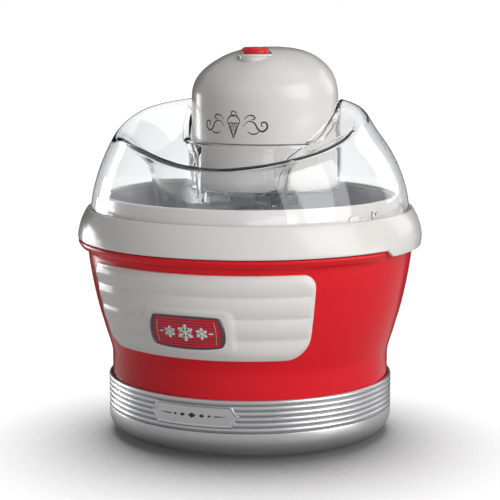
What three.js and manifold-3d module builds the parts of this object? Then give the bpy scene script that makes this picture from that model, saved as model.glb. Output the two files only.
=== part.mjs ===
// Ice cream maker with a freezer bowl: a round housing, a double-walled bowl that lifts out of it,
// a locking ring, a clear lid with a pouring scoop, a loose paddle and a geared motor unit on top.
// Millimetres, +Z up, front towards -Y, origin on the table under the centre of the round body.
import * as THREE from "three";
import { mergeVertices } from "three/addons/utils/BufferGeometryUtils.js";
import Module from "manifold-3d";

const wasm = await Module();
wasm.setup();

// ---------------------------------------------------------------- driving dimensions
const GAP = 0.3; // clearance between pieces that rest on each other
const ROUND = 36; // sides of the large round shells
const SMALL = 12; // sides of screws, pins and other small round pieces

const RIM_RADIUS = 112.5; // widest point, at the foot of the locking ring
const FOOT_HEIGHT = 2; // how far the base ring stands off the table
const BASE_RADIUS = 93.2;
const RIB_BOTTOM = 18.5;
const RIB_PITCH = 3.43;
const RIB_COUNT = 6;
const RIB_DEPTH = 0.8;
const BASE_TOP = RIB_BOTTOM + RIB_PITCH * RIB_COUNT;

const BODY_WAIST = 90.7; // radius of the housing where it enters the base ring
const BODY_TOP = 128.2;
const WALL = 2.6;

const RING_BOTTOM = 128.7;
const LEDGE_TOP = 145.6; // the lid stands on this ledge of the locking ring
const LEDGE_UNDER = 143.2;
const RING_INNER_TOP = 156.8;
const TAB_AZIMUTH = 90; // side tabs of the ring, in notches of the housing
const TAB_HALF_WIDTH = 15;
const TAB_SHOULDER = 3; // how much wider the tab is near the ring
const BAYONET_AZIMUTHS = [61, 180, -61];
const BAYONET_TURN = 12; // degrees that the lid turns to unlock

const LID_RADIUS = 104;
const LID_WALL = 2.5;
const LID_BOTTOM = LEDGE_TOP + GAP;
const CREST = { y: -15, side: 79.2, front: 78, back: 66 }; // plan of the scoop's rim: two half ellipses
const CHUTE = { y: -47, topRadius: 43, bottomRadius: 37, top: 180, bottom: 151 };
const WELL_FLOOR = 156.5;
const COLLAR = { front: 190.5, base: 186.5, slope: 45.8 }; // rim height in front, then climbing backwards

const MOTOR_Y = 26; // the motor unit stands behind the bowl's axis
const MOTOR_RADIUS = 48.6;
const MOTOR_BOTTOM = WELL_FLOOR + 2.4 + GAP;
const HUB_BOTTOM = WELL_FLOOR - 2.5; // end of the drive hub, below the well
const WELL_RADIUS = MOTOR_RADIUS + 1;
const BUTTON_Y = 8.4;
const BUTTON_RADIUS = 9.2;
const BUTTON_TOP = 251.3;

const BOWL_FLOOR = 50; // inside floor of the freezer bowl
const MODULE_MM = 1; // gear module

// ---------------------------------------------------------------- solids and shapes
const radians = THREE.MathUtils.degToRad;

// A three.js geometry as a manifold solid, facing outwards.
function solid(geometry) {
  const bare = new THREE.BufferGeometry().setAttribute("position", geometry.getAttribute("position"));
  if (geometry.index) bare.setIndex(geometry.index);
  const merged = mergeVertices(bare, 1e-4);
  const corners = Array.from(merged.index.array);
  const triangles = [];
  for (let i = 0; i < corners.length; i += 3) {
    const [a, b, c] = corners.slice(i, i + 3);
    if (a !== b && b !== c && c !== a) triangles.push(a, b, c);
  }
  const make = (triVerts) =>
    new wasm.Manifold(
      new wasm.Mesh({ numProp: 3, vertProperties: merged.attributes.position.array, triVerts }),
    );
  const made = make(new Uint32Array(triangles));
  if (made.volume() > 0) return made;
  return make(new Uint32Array(triangles.reverse()));
}

function geometryOf(manifold) {
  const mesh = manifold.getMesh();
  const position = new Float32Array(mesh.numVert * 3);
  for (let i = 0; i < mesh.numVert; i++) {
    position.set(mesh.vertProperties.subarray(i * mesh.numProp, i * mesh.numProp + 3), i * 3);
  }
  const geometry = new THREE.BufferGeometry();
  geometry.setAttribute("position", new THREE.BufferAttribute(position, 3));
  geometry.setIndex(new THREE.BufferAttribute(mesh.triVerts, 1));
  geometry.computeVertexNormals();
  return geometry;
}

const union = (...parts) => parts.reduce((a, b) => a.add(b));
const cut = (from, ...tools) => tools.reduce((a, b) => a.subtract(b), from);

// A profile of [radius, height] pairs turned about a vertical axis through (x, y).
// Azimuth 0 is the front, and a profile that is clear of the axis closes on itself.
function turned(profile, { sides = ROUND, x = 0, y = 0 } = {}) {
  const points = profile.map(([r, z]) => new THREE.Vector2(Math.max(r, 0), z));
  const onAxis = profile[0][0] === 0 && profile.at(-1)[0] === 0;
  if (!onAxis) points.push(points[0].clone());
  const geometry = new THREE.LatheGeometry(points, sides);
  geometry.rotateX(Math.PI / 2);
  geometry.translate(x, y, 0);
  return solid(geometry);
}

function cylinder(radius, bottom, top, place = {}) {
  const profile = [[0, bottom], [radius, bottom], [radius, top], [0, top]];
  return turned(profile, { sides: SMALL, ...place });
}

function tube(inner, outer, bottom, top, place = {}) {
  const profile = [[inner, bottom], [outer, bottom], [outer, top], [inner, top]];
  return turned(profile, { sides: SMALL, ...place });
}

// A box between two corners.
function block(low, high) {
  const size = high.map((v, i) => v - low[i]);
  const geometry = new THREE.BoxGeometry(...size);
  geometry.translate(...low.map((v, i) => v + size[i] / 2));
  return solid(geometry);
}

// A front-view outline (x, z) drawn through from y = near to y = far.
function frontPrism(shape, near, far, curveSegments = 5) {
  const geometry = new THREE.ExtrudeGeometry(shape, {
    depth: far - near,
    bevelEnabled: false,
    curveSegments,
  });
  geometry.rotateX(Math.PI / 2);
  geometry.translate(0, far, 0);
  return solid(geometry);
}

// A plan outline (x, y) raised from bottom to top.
function raised(shape, bottom, top, curveSegments = 6) {
  const geometry = new THREE.ExtrudeGeometry(shape, {
    depth: top - bottom,
    bevelEnabled: false,
    curveSegments,
  });
  geometry.translate(0, 0, bottom);
  return solid(geometry);
}

// Part of a ring between two azimuths, in degrees from the front towards +X.
function sector(inner, outer, from, to, bottom, top) {
  const shape = new THREE.Shape();
  const start = radians(from - 90);
  const end = radians(to - 90);
  shape.absarc(0, 0, outer, start, end, false);
  shape.absarc(0, 0, inner, end, start, true);
  shape.closePath();
  return raised(shape, bottom, top, Math.max(2, Math.ceil((to - from) / 6)));
}

function roundedRectangle(halfWidth, bottom, top, radius) {
  const shape = new THREE.Shape();
  shape.moveTo(-halfWidth + radius, bottom);
  shape.lineTo(halfWidth - radius, bottom);
  shape.absarc(halfWidth - radius, bottom + radius, radius, -Math.PI / 2, 0, false);
  shape.absarc(halfWidth - radius, top - radius, radius, 0, Math.PI / 2, false);
  shape.absarc(-halfWidth + radius, top - radius, radius, Math.PI / 2, Math.PI, false);
  shape.absarc(-halfWidth + radius, bottom + radius, radius, Math.PI, 1.5 * Math.PI, false);
  return shape;
}

// Where something stands at a radius and azimuth from the body's axis.
const around = (radius, azimuth) => ({
  x: radius * Math.sin(radians(azimuth)),
  y: -radius * Math.cos(radians(azimuth)),
});

// A smooth run of [radius, height] points through a few given ones.
function smooth(points, count) {
  const curve = new THREE.SplineCurve(points.map(([r, z]) => new THREE.Vector2(r, z)));
  return curve.getPoints(count).map((p) => [p.x, p.y]);
}

const offset = (profile, dr, dz = 0) => profile.map(([r, z]) => [Math.max(r + dr, 0), z + dz]);

// ---------------------------------------------------------------- materials
const material = (color, roughness, metalness = 0, more = {}) =>
  new THREE.MeshStandardMaterial({ color, roughness, metalness, ...more });

const MATERIALS = {
  red: material(0xc81a20, 0.25),
  cream: material(0xe2dfda, 0.3),
  silver: material(0xb9bbbe, 0.3, 0.9),
  chrome: material(0x8d9096, 0.12, 1),
  badge: material(0xa51524, 0.35),
  rubber: material(0x2a2a2a, 0.9),
  steel: material(0x9a9c9f, 0.35, 1),
  aluminium: material(0xc4c6c8, 0.4, 1),
  gel: material(0xbcd9ea, 0.6),
  clear: material(0xf4f8fa, 0.05, 0, { transparent: true, opacity: 0.3 }),
  white: material(0xf0f0ee, 0.45),
  nylon: material(0xe8e4d8, 0.5),
  black: material(0x1c1c1e, 0.5),
  bronze: material(0xa98246, 0.4, 1),
};

function piece(name, manifold, finish) {
  const mesh = new THREE.Mesh(geometryOf(manifold), MATERIALS[finish]);
  mesh.name = name;
  return mesh;
}

function assembly(...meshes) {
  const group = new THREE.Group();
  group.add(...meshes.flat());
  return group;
}

// ---------------------------------------------------------------- housing
const FOOT_RING = 73;
const FOOT_RADIUS = 6.5;
const BASE_SCREW_RING = 77;
const PLATE_BOTTOM = 4.7;
const PLATE_TOP = 7.7;
const QUARTERS = [0, 90, 180, 270];
const CORNERS = ["front", "right", "rear", "left"];

// Outside of the housing from the waist up to the flange.
const bodyFlank = smooth([[BODY_WAIST, 54], [93.9, 65], [99.8, 85.3], [104.4, 109.3], [105.9, 119.5]], 6);
const bodyOutside = [[BODY_WAIST, 14], ...bodyFlank];

// Radius on a rising profile at a height, carried on in a straight line past its last point.
function radiusOn(profile, z) {
  const found = profile.findIndex((p) => p[1] > z);
  const next = found < 0 ? profile.length - 1 : Math.max(found, 1);
  const [[r0, z0], [r1, z1]] = [profile[next - 1], profile[next]];
  return r0 + ((r1 - r0) * (z - z0)) / (z1 - z0);
}

const bodyRadiusAt = (z) => radiusOn(bodyOutside, z);

function baseRing() {
  const fillet = 11.2;
  const corner = [];
  for (let a = -90; a <= 0; a += 22.5) {
    corner.push([
      BASE_RADIUS - fillet + fillet * Math.cos(radians(a)),
      FOOT_HEIGHT + fillet + fillet * Math.sin(radians(a)),
    ]);
  }
  const ribs = [];
  for (let i = 0; i < RIB_COUNT; i++) {
    const z = RIB_BOTTOM + i * RIB_PITCH;
    ribs.push([BASE_RADIUS - RIB_DEPTH, z], [BASE_RADIUS, z + RIB_PITCH * 0.5]);
  }
  const inside = [[91.2, BASE_TOP], [91.2, 15], [89.6, 9.4], [86.6, 5.6], [83, 4.4], [81.5, 4.4]];
  const shell = turned([...corner, ...ribs, [BASE_RADIUS - RIB_DEPTH, BASE_TOP], ...inside]);
  return cut(shell, sector(92, 96, -17.6, 17.6, NAME_PLATE.bottom - GAP, NAME_PLATE.top + GAP));
}

const NAME_PLATE = { bottom: 22.2, top: 35.4, azimuth: 17.2 };

function namePlate() {
  const { bottom, top, azimuth } = NAME_PLATE;
  return sector(92 + GAP, BASE_RADIUS + 0.5, -azimuth, azimuth, bottom, top);
}

function basePlate() {
  const rim = [[83, PLATE_BOTTOM], [86, 6.2], [86, PLATE_TOP]];
  const plate = turned([[0, PLATE_BOTTOM], ...rim, [0, PLATE_TOP]]);
  const holes = QUARTERS.map((q) => cylinder(2.1, 0, 12, around(BASE_SCREW_RING, q + 45)));
  return cut(plate, ...holes);
}

function foot(azimuth) {
  const profile = [[0, 0], [FOOT_RADIUS - 1, 0], [FOOT_RADIUS, 1], [FOOT_RADIUS, PLATE_BOTTOM - GAP]];
  return turned([...profile, [0, PLATE_BOTTOM - GAP]], { sides: SMALL, ...around(FOOT_RING, azimuth) });
}

function screw(shankRadius, headRadius, headBottom, headHeight, tip, place) {
  const neck = headBottom + headHeight;
  const up = tip > neck;
  const profile = up
    ? [[0, headBottom], [headRadius, headBottom], [headRadius, neck], [shankRadius, neck], [shankRadius, tip]]
    : [[0, tip], [shankRadius, tip], [shankRadius, headBottom], [headRadius, headBottom], [headRadius, neck]];
  return turned([...profile, [0, profile.at(-1)[1]]], { sides: 10, ...place });
}

const PANEL = { azimuth: 44.8, bottom: 63.5, top: 118.5, bottomCorner: 15, topCorner: 9.5 };
const PANEL_BANDS = 4;
const BADGE = { halfWidth: 24.3, bottom: 73.9, top: 91.4 };

// The panel keeps its azimuth up the flared housing, so its outline widens upwards.
function panelOutline(grow) {
  const [bottom, top] = [PANEL.bottom - grow, PANEL.top + grow];
  const wideAt = (z) => (bodyRadiusAt(z) + 1) * Math.sin(radians(PANEL.azimuth)) + grow;
  const { bottomCorner, topCorner } = PANEL;
  const shape = new THREE.Shape();
  shape.moveTo(-wideAt(bottom) + bottomCorner, bottom);
  shape.lineTo(wideAt(bottom) - bottomCorner, bottom);
  shape.quadraticCurveTo(wideAt(bottom), bottom, wideAt(bottom + bottomCorner), bottom + bottomCorner);
  shape.lineTo(wideAt(top - topCorner), top - topCorner);
  shape.quadraticCurveTo(wideAt(top), top, wideAt(top) - topCorner, top);
  shape.lineTo(-wideAt(top) + topCorner, top);
  shape.quadraticCurveTo(-wideAt(top), top, -wideAt(top - topCorner), top - topCorner);
  shape.lineTo(-wideAt(bottom + bottomCorner), bottom + bottomCorner);
  shape.quadraticCurveTo(-wideAt(bottom), bottom, -wideAt(bottom) + bottomCorner, bottom);
  return shape;
}

function outerBody() {
  const outside = [...bodyOutside, [107, 121], [110.6, 123], [112, 126], [112, BODY_TOP]];
  const inside = [[103.2, BODY_TOP], [103.2, 119], ...offset(bodyFlank, -WALL).reverse(), [88.1, 14]];
  let shell = turned([...outside, ...inside]);
  for (const q of QUARTERS) {
    const post = block([72, -4.5, PLATE_TOP + GAP], [85.8, 4.5, 26]);
    const web = block([80, -4.5, 15], [89, 4.5, 26]);
    shell = shell.add(post.add(web).rotate([0, 0, q - 45]));
  }
  const holes = QUARTERS.map((q) => cylinder(1.9, 0, 21, around(BASE_SCREW_RING, q + 45)));
  const notchHalf = TAB_HALF_WIDTH + TAB_SHOULDER + 1;
  const notches = [TAB_AZIMUTH, -TAB_AZIMUTH].map((a) => sector(106.4, 120, a - notchHalf, a + notchHalf, 123.5, 140));
  const pocketFloor = turned([[0, 55], [0, 125], ...offset(bodyFlank, -1.1).reverse()]);
  const pocket = cut(frontPrism(panelOutline(GAP), -130, -50), pocketFloor);
  return cut(shell, ...holes, ...notches, pocket);
}

// The front panel's outside, with a shallow convex band for each moulded rib.
function panelProfile(proud) {
  const bands = [];
  const height = (PANEL.top + 4 - (PANEL.bottom - 4)) / PANEL_BANDS;
  for (let i = 0; i < PANEL_BANDS; i++) {
    const z = PANEL.bottom - 4 + i * height;
    for (const [share, lift] of [[0, 0], [0.2, 0.7], [0.6, 0.9], [0.9, 0.5]]) {
      bands.push([bodyRadiusAt(z + share * height) + proud + lift, z + share * height]);
    }
  }
  return bands;
}

function frontPanel() {
  const bands = panelProfile(0.9);
  const band = turned([[60, bands[0][1]], ...bands, [60, bands.at(-1)[1]]]);
  const plateau = turned([[60, 64], [bodyRadiusAt(64) + 2.3, 64], [bodyRadiusAt(98) + 2.3, 98], [60, 98]]);
  const pad = plateau.intersect(frontPrism(roundedRectangle(29, 70.8, 95.4, 6), -130, -50, 3));
  const skin = union(band.intersect(frontPrism(panelOutline(0), -130, -50)), pad);
  const back = turned([[0, 55], [0, 125], ...offset(bodyFlank, -1.1 + GAP).reverse()]);
  const seat = turned([[BADGE_BACK(66), 66], [120, 66], [120, 100], [BADGE_BACK(100), 100]]);
  const recess = seat.intersect(frontPrism(badgeOutline(GAP), -130, -50, 3));
  return cut(skin, back, recess);
}

const BADGE_BACK = (z) => bodyRadiusAt(z) + 0.9;

// The badge is a barrel: bowed ends, and a slight crown above and below.
function badgeOutline(grow) {
  const { halfWidth, bottom, top } = BADGE;
  const w = halfWidth + grow;
  const middle = (top + bottom) / 2;
  const shape = new THREE.Shape();
  shape.moveTo(-w + 2.5, top - 1 + grow);
  shape.quadraticCurveTo(-w - 2, middle, -w + 2.5, bottom + 1 - grow);
  shape.quadraticCurveTo(0, bottom - 1 - grow, w - 2.5, bottom + 1 - grow);
  shape.quadraticCurveTo(w + 2, middle, w - 2.5, top - 1 + grow);
  shape.quadraticCurveTo(0, top + 1 + grow, -w + 2.5, top - 1 + grow);
  return shape;
}

function badgeBand(inner, outer) {
  const [low, high] = [66, 100];
  return turned([
    [bodyRadiusAt(low) + inner, low],
    [bodyRadiusAt(low) + outer, low],
    [bodyRadiusAt(high) + outer, high],
    [bodyRadiusAt(high) + inner, high],
  ]);
}

function badgeFrame() {
  const band = badgeBand(0.9 + GAP, 3.6).intersect(frontPrism(badgeOutline(0), -130, -50, 3));
  return cut(band, badgeBand(2, 10).intersect(frontPrism(badgeOutline(-1.8), -130, -50, 3)));
}

const badgePlate = () =>
  badgeBand(2 + GAP, 3.1).intersect(frontPrism(badgeOutline(-1.8 - GAP), -130, -50, 3));

function housing() {
  return assembly(
    piece("outer_body", outerBody(), "red"),
    piece("front_panel", frontPanel(), "cream"),
    piece("badge_frame", badgeFrame(), "chrome"),
    piece("badge_plate", badgePlate(), "badge"),
    piece("base_ring", baseRing(), "silver"),
    piece("name_plate", namePlate(), "steel"),
    piece("base_plate", basePlate(), "black"),
    QUARTERS.map((q, i) => piece(`foot_${CORNERS[i]}`, foot(q), "rubber")),
    QUARTERS.map((q, i) =>
      piece(
        `base_screw_${i + 1}`,
        screw(1.6, 3.2, PLATE_BOTTOM - 1.9, 1.6, 19, around(BASE_SCREW_RING, q + 45)),
        "steel",
      ),
    ),
  );
}

// ---------------------------------------------------------------- freezer bowl and paddle
const FLANGE_BOTTOM = BODY_TOP + GAP;
const FLANGE_TOP = 130.2;

// Both faces of the inner vessel, from the centre of the floor up to the rim.
const vesselInside = [[0, BOWL_FLOOR], [72, BOWL_FLOOR], [77.5, 54], [88, 130], [92.6, 152]];
const vesselOutside = [[0, BOWL_FLOOR - 1.5], [73, BOWL_FLOOR - 1.5], [79.2, 53.4], [89.6, 130], [94.2, 152]];

function bowlInner() {
  const rim = [[94.2, 155.5], [92.6, 155.5]];
  const shell = turned([...vesselOutside, ...rim, ...[...vesselInside].reverse()]);
  return shell.add(cylinder(4, BOWL_FLOOR - 1, BOWL_FLOOR + 5));
}

const jacketOutside = [[0, 40], [82, 40], [86.3, 45], [86.3, 57], [97.6, 112], [98.6, FLANGE_BOTTOM]];
const jacketInside = [[0, 41.6], [81.4, 41.6], [84.7, 45.6], [84.7, 57.2], [96, 112], [97, FLANGE_TOP]];

function bowlOuter() {
  const flange = [[107, FLANGE_BOTTOM], [107, FLANGE_TOP]];
  const shell = turned([...jacketOutside, ...flange, ...[...jacketInside].reverse()]);
  return cut(shell, cylinder(4.3, 30, 45, { x: 40 }));
}

// Gel between the two vessels, which the freezer hardens.
function coolant() {
  const outside = jacketInside.slice(1, -1).map(([r, z]) => [r - GAP, z + GAP]);
  const inside = vesselOutside.slice(1, -1).map(([r, z]) => [r + GAP, z - GAP]);
  const top = 124;
  const cup = turned([
    [0, 41.6 + GAP],
    ...outside,
    [96.4, top],
    [88.8 + 2 * GAP, top],
    ...inside.slice(0, -1).reverse(),
    [0, BOWL_FLOOR - 1.5 - GAP],
  ]);
  return cup;
}

const bowlSeal = () => tube(90.4, 96.6, 124 + GAP, 129.9, { sides: ROUND });

function fillPlug() {
  const profile = [[0, 38.6], [6, 38.6], [6, 39.7], [4, 39.7], [4, 41.6], [0, 41.6]];
  return turned(profile, { sides: SMALL, x: 40 });
}

const PADDLE = { bottom: 56, top: 122, reach: 74, hubRadius: 10, hubTop: 147, socketFloor: 130 };

// Two swept blades with windows, on a hub whose socket takes the drive tang with free play.
function paddle() {
  const { bottom, top, reach, hubRadius, hubTop, socketFloor } = PADDLE;
  const blade = new THREE.Shape();
  blade.moveTo(-2, 0);
  blade.quadraticCurveTo(26, 14, reach - 8, 16);
  blade.quadraticCurveTo(reach - 2, 15, reach - 2, 8);
  blade.lineTo(reach - 4.5, 7.5);
  blade.quadraticCurveTo(reach - 5, 12, reach - 9, 12.4);
  blade.quadraticCurveTo(28, 10, 2, -4);
  blade.closePath();
  let wing = raised(blade, bottom, top, 5);
  for (const [x0, x1] of [[16, 36], [42, 58]]) {
    wing = cut(wing, block([x0, -10, bottom + 9], [x1, 30, bottom + 29]));
    wing = cut(wing, block([x0, -10, bottom + 36], [x1, 30, bottom + 56]));
  }
  const hub = turned([[0, bottom - 0.5], [hubRadius - 2, bottom - 0.5], [hubRadius, hubTop], [0, hubTop]], {
    sides: 20,
  });
  const body = union(hub, wing, wing.rotate([0, 0, 180]));
  const socket = cylinder(7.2, socketFloor, hubTop + 5, { sides: 20 });
  const centring = cylinder(4.8, bottom - 6, bottom + 4);
  const dogs = [1, -1].map((side) => block([-1.2, side > 0 ? 4.6 : -8, socketFloor - 1], [1.2, side > 0 ? 8 : -4.6, 143]));
  return union(cut(body, socket, centring), ...dogs);
}

function freezerBowl() {
  return assembly(
    piece("bowl_inner", bowlInner(), "aluminium"),
    piece("bowl_outer", bowlOuter(), "white"),
    piece("coolant_gel", coolant(), "gel"),
    piece("bowl_seal", bowlSeal(), "rubber"),
    piece("fill_plug", fillPlug(), "rubber"),
    piece("paddle", paddle(), "white"),
  );
}

// ---------------------------------------------------------------- locking ring
function lockingRing() {
  const outside = smooth([[RIM_RADIUS, RING_BOTTOM], [112.2, 133], [110, 141], [107.2, 146.6]], 5);
  const shell = turned([
    ...outside,
    [105.6, 148.2],
    [104.9, 147.6],
    [104.9, LEDGE_TOP],
    [97.2, LEDGE_TOP],
    [97.2, 156],
    [96.4, RING_INNER_TOP],
    [94.4, RING_INNER_TOP],
    [94.4, 155.8],
    [95.2, 155.8],
    [95.2, LEDGE_UNDER],
    [103, LEDGE_UNDER],
    [106.2, 140.6],
    [109.4, 133],
    [109.6, RING_BOTTOM],
  ]);
  const tab = (a, half, bottom) => sector(107.4, 111.9, a - half, a + half, bottom, RING_BOTTOM + 2.4);
  const tabs = [TAB_AZIMUTH, -TAB_AZIMUTH].flatMap((a) => [
    tab(a, TAB_HALF_WIDTH, 124.4),
    tab(a, TAB_HALF_WIDTH + TAB_SHOULDER, 126.6),
  ]);
  const slots = BAYONET_AZIMUTHS.flatMap((a) => [
    sector(100.9, 104.4, a - 7, a + BAYONET_TURN + 8, LEDGE_UNDER - 1, LEDGE_TOP + 1),
    sector(98, 104.4, a + BAYONET_TURN - 7, a + BAYONET_TURN + 8, LEDGE_UNDER - 1, LEDGE_TOP + 1),
  ]);
  return piece("locking_ring", cut(union(shell, ...tabs), ...slots), "cream");
}

// ---------------------------------------------------------------- clear lid
const DOME = [
  [LID_RADIUS, LID_BOTTOM],
  [103.4, 152.5],
  [100.6, 165],
  [95.3, 178.1],
  [88.2, 190.5],
  [82.4, 199.5],
  [77.4, 206.4],
  [71, 212],
  [62, 216],
  [50, 218.4],
  [30, 220.2],
  [0, 221],
];

function domeSolid(shrink) {
  const curve = smooth(DOME, 11);
  const scaled = curve.map(([r, z]) => [Math.max(r - shrink * (r / LID_RADIUS), 0), z - shrink * ((z - LID_BOTTOM) / 74)]);
  scaled[scaled.length - 1][0] = 0;
  return turned([[0, LID_BOTTOM - (shrink > 0 ? 20 : 0)], [scaled[0][0], LID_BOTTOM - (shrink > 0 ? 20 : 0)], ...scaled]);
}

// Height of the dome's outside over a plan radius.
function domeHeight(radius) {
  const curve = smooth(DOME, 40);
  const next = curve.findIndex((p) => p[0] <= radius);
  if (next <= 0) return LID_BOTTOM;
  const [[r0, z0], [r1, z1]] = [curve[next - 1], curve[next]];
  return z0 + ((z1 - z0) * (radius - r0)) / (r1 - r0);
}

// The scoop: a ruled funnel from the chute's mouth up to the crest, where it meets the dome.
function scoop(grow) {
  const sides = ROUND;
  const positions = [];
  const index = [];
  const plan = (a) => {
    const reach = Math.cos(a) > 0 ? CREST.front : CREST.back;
    return [(CREST.side + grow) * Math.sin(a), CREST.y - (reach + grow) * Math.cos(a)];
  };
  const rings = [
    (a) => [(CHUTE.topRadius + grow) * Math.sin(a), CHUTE.y - (CHUTE.topRadius + grow) * Math.cos(a), CHUTE.top - grow],
    (a) => [...plan(a), domeHeight(Math.min(Math.hypot(...plan(a)), LID_RADIUS)) - grow * 0.5 + 0.5],
    (a) => [...plan(a), 240],
  ];
  for (const ring of rings) {
    for (let i = 0; i < sides; i++) positions.push(...ring((2 * Math.PI * i) / sides));
  }
  const bottom = positions.length / 3;
  positions.push(0, CHUTE.y, CHUTE.top - grow);
  positions.push(0, CREST.y, 240);
  for (let i = 0; i < sides; i++) {
    const j = (i + 1) % sides;
    for (let k = 0; k < rings.length - 1; k++) {
      const [a, b, c, d] = [k * sides + i, k * sides + j, (k + 1) * sides + j, (k + 1) * sides + i];
      index.push(a, b, c, a, c, d);
    }
    index.push(bottom, j, i);
    index.push(bottom + 1, (rings.length - 1) * sides + i, (rings.length - 1) * sides + j);
  }
  const geometry = new THREE.BufferGeometry();
  geometry.setAttribute("position", new THREE.Float32BufferAttribute(positions, 3));
  geometry.setIndex(index);
  return solid(geometry);
}

function chute(grow, bottom, top) {
  const { topRadius, bottomRadius } = CHUTE;
  const slope = (topRadius - bottomRadius) / (CHUTE.top - CHUTE.bottom);
  const radiusAt = (z) => bottomRadius + slope * (z - CHUTE.bottom) + grow;
  return turned([[0, bottom], [radiusAt(bottom), bottom], [radiusAt(top), top], [0, top]], { y: CHUTE.y });
}

// One of the clear frames that stand below the well's edge, where the motor unit's catch shows.
function latchFrame(azimuth) {
  const frame = cut(block([-8.5, -52.1, 151.5], [8.5, -49.9, 162]), block([-5.5, -60, 154], [5.5, -40, 159.5]));
  return frame.rotate([0, 0, azimuth]).translate([0, MOTOR_Y, 0]);
}

function lid() {
  const dome = domeSolid(0);
  const place = { y: MOTOR_Y, sides: ROUND };
  const wellOuter = cylinder(WELL_RADIUS + 2.1, WELL_FLOOR, 240, place);
  const lip = dome.translate([0, 0, 2.5]);
  const skins = union(
    cut(dome, domeSolid(LID_WALL)),
    scoop(LID_WALL).intersect(dome),
    chute(LID_WALL, CHUTE.bottom, CHUTE.top),
    wellOuter.intersect(lip),
  );
  const hollow = union(scoop(0), chute(0, CHUTE.bottom - 5, CHUTE.top + 1));
  const climb = block([-80, -200, -200], [80, 200, 0]).rotate([COLLAR.slope, 0, 0]).translate([0, 0, COLLAR.base]);
  const rim = climb.add(cylinder(90, WELL_FLOOR - 10, COLLAR.front)).intersect(lip);
  const collar = tube(WELL_RADIUS, WELL_RADIUS + 2.1, WELL_FLOOR, 240, place).intersect(rim);
  const floor = cylinder(WELL_RADIUS + 1, WELL_FLOOR, WELL_FLOOR + 2.4, place);
  const shaftHole = cylinder(13, WELL_FLOOR - 5, WELL_FLOOR + 5, { sides: 20 });
  const wellCavity = cylinder(WELL_RADIUS, WELL_FLOOR + 2.4, 245, place);
  const latches = [40, -40].map(latchFrame);
  const bayonets = BAYONET_AZIMUTHS.flatMap((a) => [
    sector(101.6, 103.7, a - 6, a + 6, 140.6, LID_BOTTOM + 2),
    sector(98.6, 103.7, a - 6, a + 6, 140.4, 142.8),
  ]);
  const shell = union(cut(skins, hollow), collar, floor, ...latches, ...bayonets);
  return piece("lid", cut(shell, wellCavity, shaftHole), "clear");
}

// ---------------------------------------------------------------- motor unit
const DOME_START = 222;
const HOUSING_WALL = 2.2;
const PLATE = { bottom: 185, top: 187 }; // gearbox plate
const BOSS_AZIMUTHS = [118, 218, 310];
const BOSS_RING = 40.5;
const SHAFT_Y = 34; // motor shaft
const TEETH = { pinion: 12, wheel: 40, layshaft: 12, output: 30 };

const pitchRadius = (teeth) => (teeth * MODULE_MM) / 2;

// The reduction gear's centre, from its distances to the output shaft and the motor shaft.
const toOutput = pitchRadius(TEETH.layshaft) + pitchRadius(TEETH.output);
const toMotor = pitchRadius(TEETH.pinion) + pitchRadius(TEETH.wheel);
const layshaftY = (toOutput ** 2 - toMotor ** 2 + SHAFT_Y ** 2) / (2 * SHAFT_Y);
const LAYSHAFT = { x: Math.sqrt(toOutput ** 2 - layshaftY ** 2), y: layshaftY };

// The cover's circles rise and lean back towards the top: [radius, height, shift in y].
const COVER = [
  [48.6, MOTOR_BOTTOM, 0],
  [48.5, 222, 0],
  [47.3, 227, 0.7],
  [44.6, 232.5, 2.4],
  [40, 238, 4.8],
  [35, 242, 7],
  [28.5, 245.8, 9],
  [19.5, 248.8, 10.8],
  [9.5, 250.2, 12],
];

// A stack of circles closed at both ends.
function leaningStack(rows, apexHeight, apexShift) {
  const sides = ROUND;
  const positions = [];
  const index = [];
  for (const [r, z, shift] of rows) {
    for (let i = 0; i < sides; i++) {
      const a = (2 * Math.PI * i) / sides;
      positions.push(r * Math.sin(a), MOTOR_Y + shift - r * Math.cos(a), z);
    }
  }
  const base = positions.length / 3;
  positions.push(0, MOTOR_Y, rows[0][1], 0, MOTOR_Y + apexShift, apexHeight);
  for (let i = 0; i < sides; i++) {
    const j = (i + 1) % sides;
    for (let k = 0; k < rows.length - 1; k++) {
      const [a, b, c, d] = [k * sides + i, k * sides + j, (k + 1) * sides + j, (k + 1) * sides + i];
      index.push(a, b, c, a, c, d);
    }
    index.push(base, j, i);
    index.push(base + 1, (rows.length - 1) * sides + i, (rows.length - 1) * sides + j);
  }
  const geometry = new THREE.BufferGeometry();
  geometry.setAttribute("position", new THREE.Float32BufferAttribute(positions, 3));
  geometry.setIndex(index);
  return solid(geometry);
}

// A place on a circle about the motor unit's own axis.
function aroundMotor(radius, azimuth) {
  const spot = around(radius, azimuth);
  return { x: spot.x, y: spot.y + MOTOR_Y };
}

const GLAND = { y: 76, z: 228, radius: 6.2, bore: 3.5 };

function glandShape(radius, from, to) {
  const geometry = new THREE.CylinderGeometry(radius, radius, to - from, SMALL);
  geometry.translate(0, (from + to) / 2, GLAND.z);
  return solid(geometry);
}

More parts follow.
